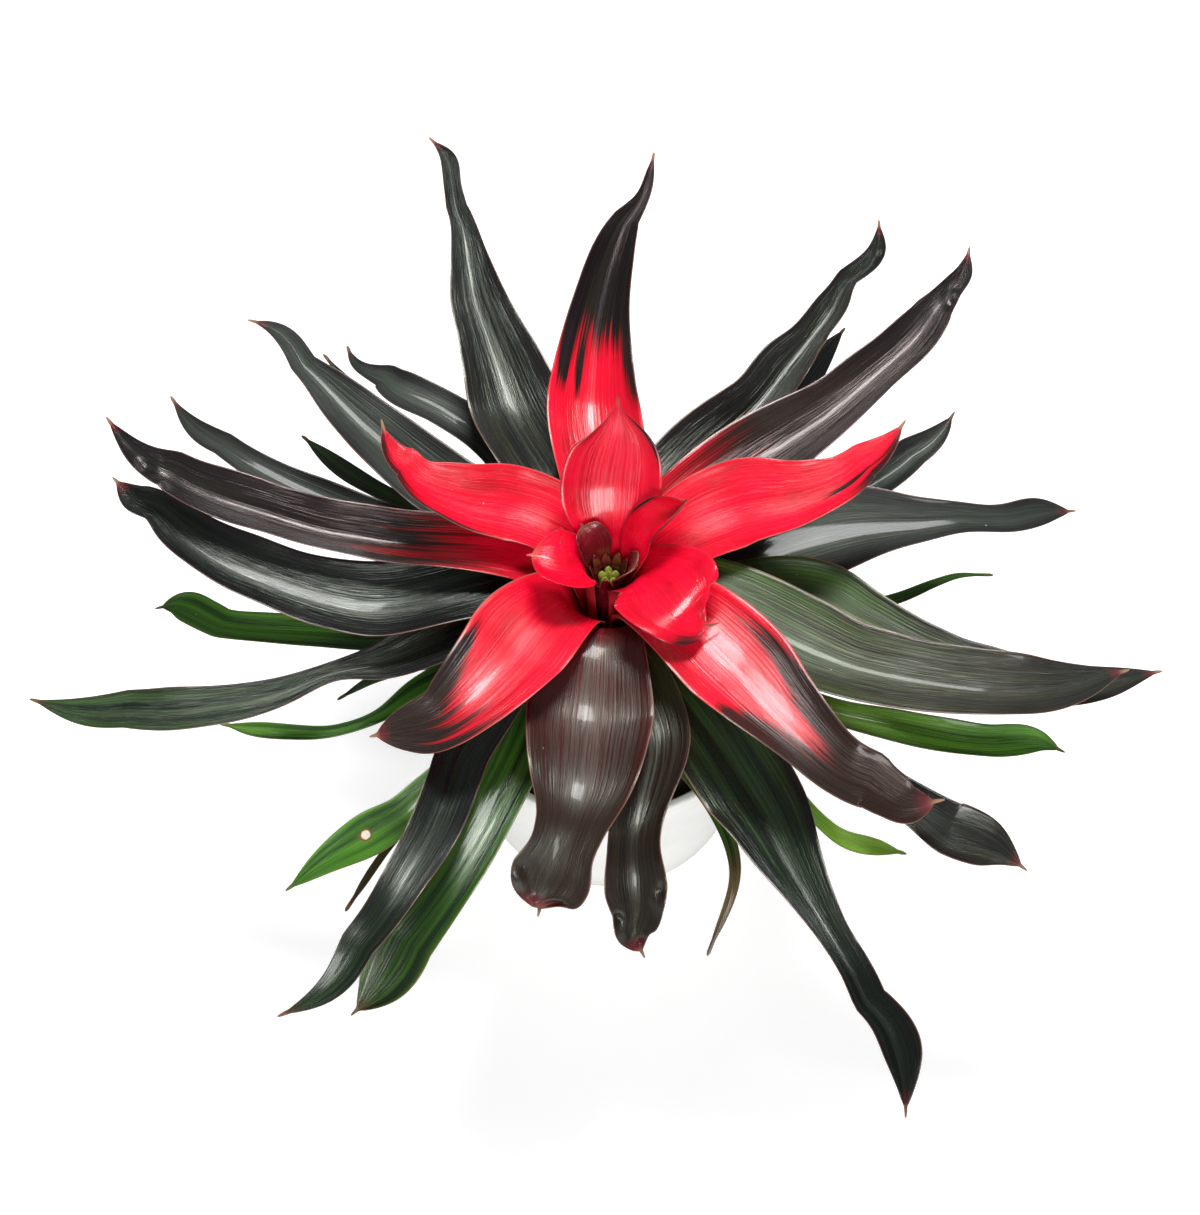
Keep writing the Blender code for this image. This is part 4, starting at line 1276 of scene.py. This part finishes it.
def wet_material(name, colours, roughness, coat):
    """Two colours in clouds, with a vein pattern in roughness and relief, under a clear wet coat."""
    material, tree, shader = new_material(name)
    cloud = noise(tree, coordinates(tree), 420, 4, 0.6)
    veins = noise(tree, coordinates(tree, scale=(1, 1, 0.15)), 2600, 3, 0.5)
    skin = blend(tree, between(tree, cloud, 0.3, 0.7), *colours)
    tree.links.new(skin, shader.inputs["Base Color"])
    gloss = between(tree, veins, 0.2, 0.8, roughness, roughness + 0.15)
    tree.links.new(gloss, shader.inputs["Roughness"])
    tree.links.new(bump(tree, veins, 0.0001, 0.5), shader.inputs["Normal"])
    shader.inputs["Coat Weight"].default_value = coat
    shader.inputs["Coat Roughness"].default_value = 0.05
    return material


bracts = place(
    "grown_flower_bracts",
    gathered("flower_bracts_mesh", *bract_solids),
    wet_material("bract_maroon", BRACT_MAROON, 0.25, 0.9),
    "bract_maroon",
    "flower_bracts",
)
buds = place(
    "grown_flower_buds",
    gathered("flower_buds_mesh", *bud_solids),
    wet_material("bud_yellow_green", BUD_GREEN, 0.35, 0.3),
    "bud_yellow_green",
    "flower_buds",
)
print("flower head:", len(bracts.data.polygons), "and", len(buds.data.polygons), "triangles")

# %% [markdown]
# ## The pot
# The pot is a plain moulded one with a rolled rim. Bevelled cylinders would do, but a moulded pot is
# turned in its nature, so it is one profile from the middle of its floor inside, over the rim and down to
# the middle of its base, with every corner rounded.

# %% Pot
POT_HEIGHT = 106
POT_BASE_RADIUS = 65
POT_RIM_RADIUS = 78
POT_WALL = 2.2
POT_RIM_DEPTH = 9
POT_RIM_THICKNESS = 4
POT_CORNER = 1.5
POT_STEPS = 160


def pot_wall_radius(height):
    """The pot's outer radius at a height: a straight taper."""
    top_radius = POT_RIM_RADIUS - POT_RIM_THICKNESS + POT_WALL
    return POT_BASE_RADIUS + (top_radius - POT_BASE_RADIUS) * height / POT_HEIGHT


def rounded(profile, radius, steps=5):
    """The profile with every inner corner rounded: each becomes a parabola between two points near it."""
    profile = np.array(profile, float)
    points = [profile[0]]
    for before, corner, after in zip(profile[:-2], profile[1:-1], profile[2:]):
        most = 0.45 * min(np.linalg.norm(before - corner), np.linalg.norm(after - corner))
        cut = min(radius, most)
        start = corner + unit(before - corner) * cut
        end = corner + unit(after - corner) * cut
        t = np.linspace(0, 1, steps)[:, None]
        points.extend((1 - t) ** 2 * start + 2 * t * (1 - t) * corner + t**2 * end)
    points.append(profile[-1])
    return np.array(points)


inner_top = POT_RIM_RADIUS - POT_RIM_THICKNESS
rim_bottom = POT_HEIGHT - POT_RIM_DEPTH
pot_profile = [
    (0, POT_WALL),
    (POT_BASE_RADIUS - POT_WALL, POT_WALL),
    (inner_top, POT_HEIGHT - 1),
    (inner_top + 1, POT_HEIGHT),
    (POT_RIM_RADIUS - 1, POT_HEIGHT),
    (POT_RIM_RADIUS, POT_HEIGHT - 1),
    (POT_RIM_RADIUS - 0.5, rim_bottom + 1),
    (POT_RIM_RADIUS - 1.5, rim_bottom),
    (pot_wall_radius(rim_bottom), rim_bottom),
    (pot_wall_radius(3), 3),
    (POT_BASE_RADIUS - 1, 0),
    (0, 0),
]
pot_solid = turned(rounded(pot_profile, POT_CORNER), POT_STEPS)
print("pot:", POT_HEIGHT, "mm high and", 2 * POT_RIM_RADIUS, "mm over its rim")

# %% [markdown]
# ## The pot's plastic
# White plastic is never one white. Fine dust clouds its colour and its gloss, and near the ground the pot
# is darker and browner. A picture could be wrapped round it, but noise on Object coordinates has no seam,
# and the height in those same coordinates says where it darkens.

# %% Pot finish
POT_WHITE = (0.84, 0.84, 0.82)
POT_DUST = (0.76, 0.75, 0.71)
POT_NEAR_GROUND = (0.55, 0.50, 0.42)
DARKER_BELOW_HEIGHTS = (0.012, 0.035)

material, tree, shader = new_material("pot_white")
dust = noise(tree, coordinates(tree), 35, 5, 0.6)
grain = noise(tree, coordinates(tree), 900, 2, 0.5)
height_in = tree.nodes.new("ShaderNodeSeparateXYZ")
tree.links.new(coordinates(tree), height_in.inputs[0])
uneven_height = sums(tree, "MULTIPLY_ADD", dust, 0.03, height_in.outputs["Z"])
# Towards the ground the pot goes darker and browner, from about 35 mm down to 12 mm, along a line made
# uneven by the dust noise.
darker_near_ground = between(tree, uneven_height, *DARKER_BELOW_HEIGHTS, 0.55, 0.0)
skin = blend(tree, between(tree, dust, 0.35, 0.75, 0.0, 0.5), POT_WHITE, POT_DUST)
skin = blend(tree, darker_near_ground, skin, POT_NEAR_GROUND)
tree.links.new(skin, shader.inputs["Base Color"])
tree.links.new(between(tree, dust, 0.3, 0.7, 0.32, 0.48), shader.inputs["Roughness"])
tree.links.new(bump(tree, grain, 0.00005, 0.4), shader.inputs["Normal"])
pot = place("moulded_pot", gathered("pot_mesh", pot_solid), material, "pot_white", "pot")
print("pot:", len(pot.data.polygons), "triangles")

# %% [markdown]
# ## The potting mix
# The mix is dark bark and peat, heaped a little towards the plant. It could be a bump on a flat disc, but
# its crumbs catch the light from the side, so its top is a surface with real lumps: sine waves of five
# sizes, three of each in different directions, added up.

# %% Potting mix
STEM_HOLE_RADIUS = 20
STEM_FOOT_HEIGHT = 62
GAP = 0.3
MOUND_HEIGHTS = (97, 98, 96.5, 95)
MOUND_ROWS = 60
MIX_STEPS = 220
LUMPS = ((24, 1.0), (11, 0.8), (6, 0.7), (3.4, 0.5), (2.2, 0.35))
HIGHEST_LUMP = 1.2

inner_slope = (inner_top - POT_BASE_RADIUS + POT_WALL) / (POT_HEIGHT - 1 - POT_WALL)
inner_radius = POT_BASE_RADIUS - POT_WALL - 2 * GAP
edge_radius = inner_radius + inner_slope * (MOUND_HEIGHTS[-1] - POT_WALL)


def mound(radius):
    """The height of the mix without its lumps: straight lines between four heights."""
    places = (STEM_HOLE_RADIUS, 0.5 * edge_radius, 0.85 * edge_radius, edge_radius)
    return np.interp(radius, places, MOUND_HEIGHTS)


def lumps(radius, height, angle):
    """Crumbs on the top: waves of several sizes added up, fading out at the hole and down the sides."""
    x = radius * np.cos(angle)
    y = radius * np.sin(angle)
    top = ease(height, MOUND_HEIGHTS[-1] - 1, MOUND_HEIGHTS[-1])
    draw = np.random.default_rng(7)
    total = np.zeros_like(x)
    for size, depth in LUMPS:
        for _ in range(3):
            direction = draw.uniform(0, 2 * math.pi)
            shift = draw.uniform(0, 2 * math.pi)
            along = x * math.cos(direction) + y * math.sin(direction)
            total += depth / 3 * np.sin(along / size * 2.6 + shift)
    inside = ease(radius, STEM_HOLE_RADIUS + 0.5, STEM_HOLE_RADIUS + 4)
    return radius, height + np.minimum(total, HIGHEST_LUMP) * top * inside


out = np.linspace(STEM_HOLE_RADIUS, edge_radius, MOUND_ROWS)
mix_profile = [
    (0, STEM_FOOT_HEIGHT - GAP),
    (STEM_HOLE_RADIUS, STEM_FOOT_HEIGHT - GAP),
    *zip(out, mound(out)),
    (inner_radius, POT_WALL + GAP),
    (0, POT_WALL + GAP),
]
mix_solid = turned(mix_profile, MIX_STEPS, lumps)
print("the mix fills the pot to", MOUND_HEIGHTS[-1], "mm at its edge")

# %% Mix finish
PEAT_BLACK = (0.006, 0.005, 0.004)
PEAT_BROWN = (0.045, 0.028, 0.018)
BARK_BROWN = (0.10, 0.065, 0.04)

mix_material, tree, shader = new_material("potting_mix")
crumb = noise(tree, coordinates(tree), 260, 5, 0.65)
fibre = noise(tree, coordinates(tree, scale=(1, 0.25, 1)), 900, 4, 0.6)
skin = blend(tree, between(tree, crumb, 0.3, 0.8), PEAT_BLACK, PEAT_BROWN)
skin = blend(tree, between(tree, fibre, 0.62, 0.72, 0.0, 0.6), skin, BARK_BROWN)
tree.links.new(skin, shader.inputs["Base Color"])
shader.inputs["Roughness"].default_value = 0.92
tree.links.new(bump(tree, fibre, 0.0006, 0.8, bump(tree, crumb, 0.0015, 0.9)), shader.inputs["Normal"])
mix = place("potting_mix_bed", gathered("mix_mesh", mix_solid), mix_material, "potting_mix", "soil")
print("potting mix:", len(mix.data.polygons), "triangles")

# %% [markdown]
# ## Loose bark
# Chips of bark lie all over the mix. Instances on points would be quicker to set up, but the export wants
# plain meshes, and a chip of thirty-odd points costs little. Each one is a few rough rings, longer than it
# is wide and wider than it is thick, turned about the upright and laid on the mound.

# %% Bark chips
CHIP_COUNT = 420
CHIP_SIZES = (1.2, 3.4)
CHIP_WIDTH = 0.55
CHIP_THICKNESS = 0.38


def chip(draw):
    """One chip at a random place: rings along X with uneven radii, turned about Z and moved there."""
    angle = draw.uniform(0, 2 * math.pi)
    radius = math.sqrt(draw.uniform(24**2, (edge_radius - 5) ** 2))
    size = draw.uniform(*CHIP_SIZES)
    draw.normal(size=(12, 3))  # thirty-six numbers are passed over, and the later chips depend on that
    turn = draw.uniform(0, 2 * math.pi)
    t = np.linspace(-1, 1, 5)[:, None]
    ring_angle = np.linspace(0, 2 * math.pi, 6, endpoint=False)[None]
    rough = draw.uniform(0.7, 1.15, (5, 6))
    ring = size * np.sqrt(np.clip(1 - t**2, 0.12, 1)) * rough
    along = size * t + 0 * ring
    sideways = CHIP_WIDTH * ring * np.cos(ring_angle)
    x = radius * math.cos(angle) + along * math.cos(turn) - sideways * math.sin(turn)
    y = radius * math.sin(angle) + along * math.sin(turn) + sideways * math.cos(turn)
    z = mound(radius) + 0.2 + draw.uniform(0, 0.6) + CHIP_THICKNESS * ring * np.sin(ring_angle)
    return closed_tube(np.stack([x, y, z], axis=-1))


chip_draw = np.random.default_rng(11)
chips = [chip(chip_draw) for _ in range(CHIP_COUNT)]
bark = place("bark_chips", gathered("chips_mesh", *chips), mix_material, "potting_mix")
print("bark:", CHIP_COUNT, "chips,", len(bark.data.polygons), "triangles")

# %% [markdown]
# ## The stem
# The stem is a short woody stump, widest where it enters the mix, and nearly all of it is inside the leaf
# feet. What little can be seen is ringed with the scars of old leaves. They are a low wave in the turned
# surface, cut in only, so that the stem never touches the leaves round it.

# %% Stem
STEM_BROWN = (0.10, 0.065, 0.035)
STEM_TAN = (0.20, 0.14, 0.08)
STEM_STEPS = 72
SCAR_DEPTH = 0.35
ROWS_BETWEEN = 14

clear = 2 * GAP
stem_profile = [
    (0, STEM_HEIGHT[0]),
    (STEM_RADIUS[0] - clear - 1, STEM_HEIGHT[0]),
    (STEM_RADIUS[0] - clear, STEM_HEIGHT[0] - 2),
    (STEM_HOLE_RADIUS - clear - 1, STEM_HEIGHT[1] - 2),
    (STEM_HOLE_RADIUS - clear, STEM_HEIGHT[1] - 8),
    (STEM_HOLE_RADIUS - clear - 3, STEM_FOOT_HEIGHT),
    (0, STEM_FOOT_HEIGHT),
]


def leaf_scars(radius, height, angle):
    """Low rings round the stem where old leaves came away, a little uneven."""
    ring = SCAR_DEPTH * np.sin(height * 1.7 + 0.5 * np.sin(3 * angle))
    body = (radius > 1) & (height < STEM_HEIGHT[0] - 3)
    return radius + np.where(body, np.minimum(ring, 0), 0), height


corners = rounded(stem_profile, 1.0)
spans = [np.linspace(a, b, ROWS_BETWEEN, endpoint=False) for a, b in zip(corners[:-1], corners[1:])]
stem_solid = turned(np.concatenate(spans + [corners[-1:]]), STEM_STEPS, leaf_scars)
material, tree, shader = new_material("stem_brown")
woody = noise(tree, coordinates(tree, scale=(1, 1, 4)), 180, 5, 0.6)
skin = blend(tree, between(tree, woody, 0.3, 0.7), STEM_BROWN, STEM_TAN)
tree.links.new(skin, shader.inputs["Base Color"])
shader.inputs["Roughness"].default_value = 0.8
tree.links.new(bump(tree, woody, 0.0006, 0.8), shader.inputs["Normal"])
stem = place("scarred_stem", gathered("stem_mesh", stem_solid), material, "stem_brown", "stem")
print("stem:", len(stem.data.polygons), "triangles")

# %% [markdown]
# ## Floor and light
# The plant stands on plain white. A white floor under a pale sky would glow by itself, but the soft
# shadows under the leaves need lamps with a direction. One panel hangs above and a little behind the
# plant, and a longer one stands behind the camera. Their straight shapes are what the wax shows as long
# highlights, which a round lamp or an even sky would not give.

# %% Floor
FLOOR_HALF = 4
FLOOR_GLOW = 0.36

floor_mesh = bpy.data.meshes.new("floor")
floor_corners = [(-FLOOR_HALF, -FLOOR_HALF, 0), (FLOOR_HALF, -FLOOR_HALF, 0)]
floor_corners += [(FLOOR_HALF, FLOOR_HALF, 0), (-FLOOR_HALF, FLOOR_HALF, 0)]
floor_mesh.from_pydata(floor_corners, [], [(0, 1, 2, 3)])
floor = bpy.data.objects.new("floor", floor_mesh)
bpy.context.scene.collection.objects.link(floor)
material, tree, shader = new_material("white_floor")
paper = noise(tree, coordinates(tree), 6, 3, 0.5)
tree.links.new(blend(tree, paper, (0.93, 0.93, 0.93), (0.95, 0.95, 0.95)), shader.inputs["Base Color"])
shader.inputs["Roughness"].default_value = 0.9
shader.inputs["Specular IOR Level"].default_value = 0.1
shader.inputs["Emission Color"].default_value = (1, 1, 1, 1)
shader.inputs["Emission Strength"].default_value = FLOOR_GLOW
floor_mesh.materials.append(material)
print("floor:", 2 * FLOOR_HALF, "m across")

# %% Sky and lamps
SKY_COLOUR = (0.97, 0.98, 1.0, 1)
SKY_STRENGTH = 0.2
LOOK_AT = (0, 0, 0.15)

world = bpy.data.worlds.new("pale_room")
bpy.context.scene.world = world
world.use_nodes = True
background = world.node_tree.nodes["Background"]
background.inputs["Color"].default_value = SKY_COLOUR
background.inputs["Strength"].default_value = SKY_STRENGTH


def area_lamp(name, width, height, power, place_at):
    """A soft rectangular panel at a place, facing the plant."""
    data = bpy.data.lights.new(name, "AREA")
    data.shape = "RECTANGLE"
    data.size = width
    data.size_y = height
    data.energy = power
    lamp = bpy.data.objects.new(name, data)
    bpy.context.scene.collection.objects.link(lamp)
    lamp.location = place_at
    direction = np.array(LOOK_AT) - np.array(place_at)
    yaw = math.atan2(direction[1], direction[0])
    pitch = math.atan2(np.hypot(direction[0], direction[1]), -direction[2])
    lamp.rotation_euler = (pitch, 0, yaw - math.pi / 2)
    return lamp


ceiling_panel = area_lamp("ceiling_panel", 0.55, 0.36, 22, (0.05, 0.6, 1.42))
front_panel = area_lamp("front_panel", 0.9, 0.32, 18, (0.15, -1.35, 1.2))
bpy.context.scene.view_settings.view_transform = "Standard"
print("lamps:", [(lamp.name, lamp.data.energy) for lamp in (ceiling_panel, front_panel)])


print("the solids' box is", np.round(np.subtract(*CAD_BOX[::-1]), 3).tolist(), "m")
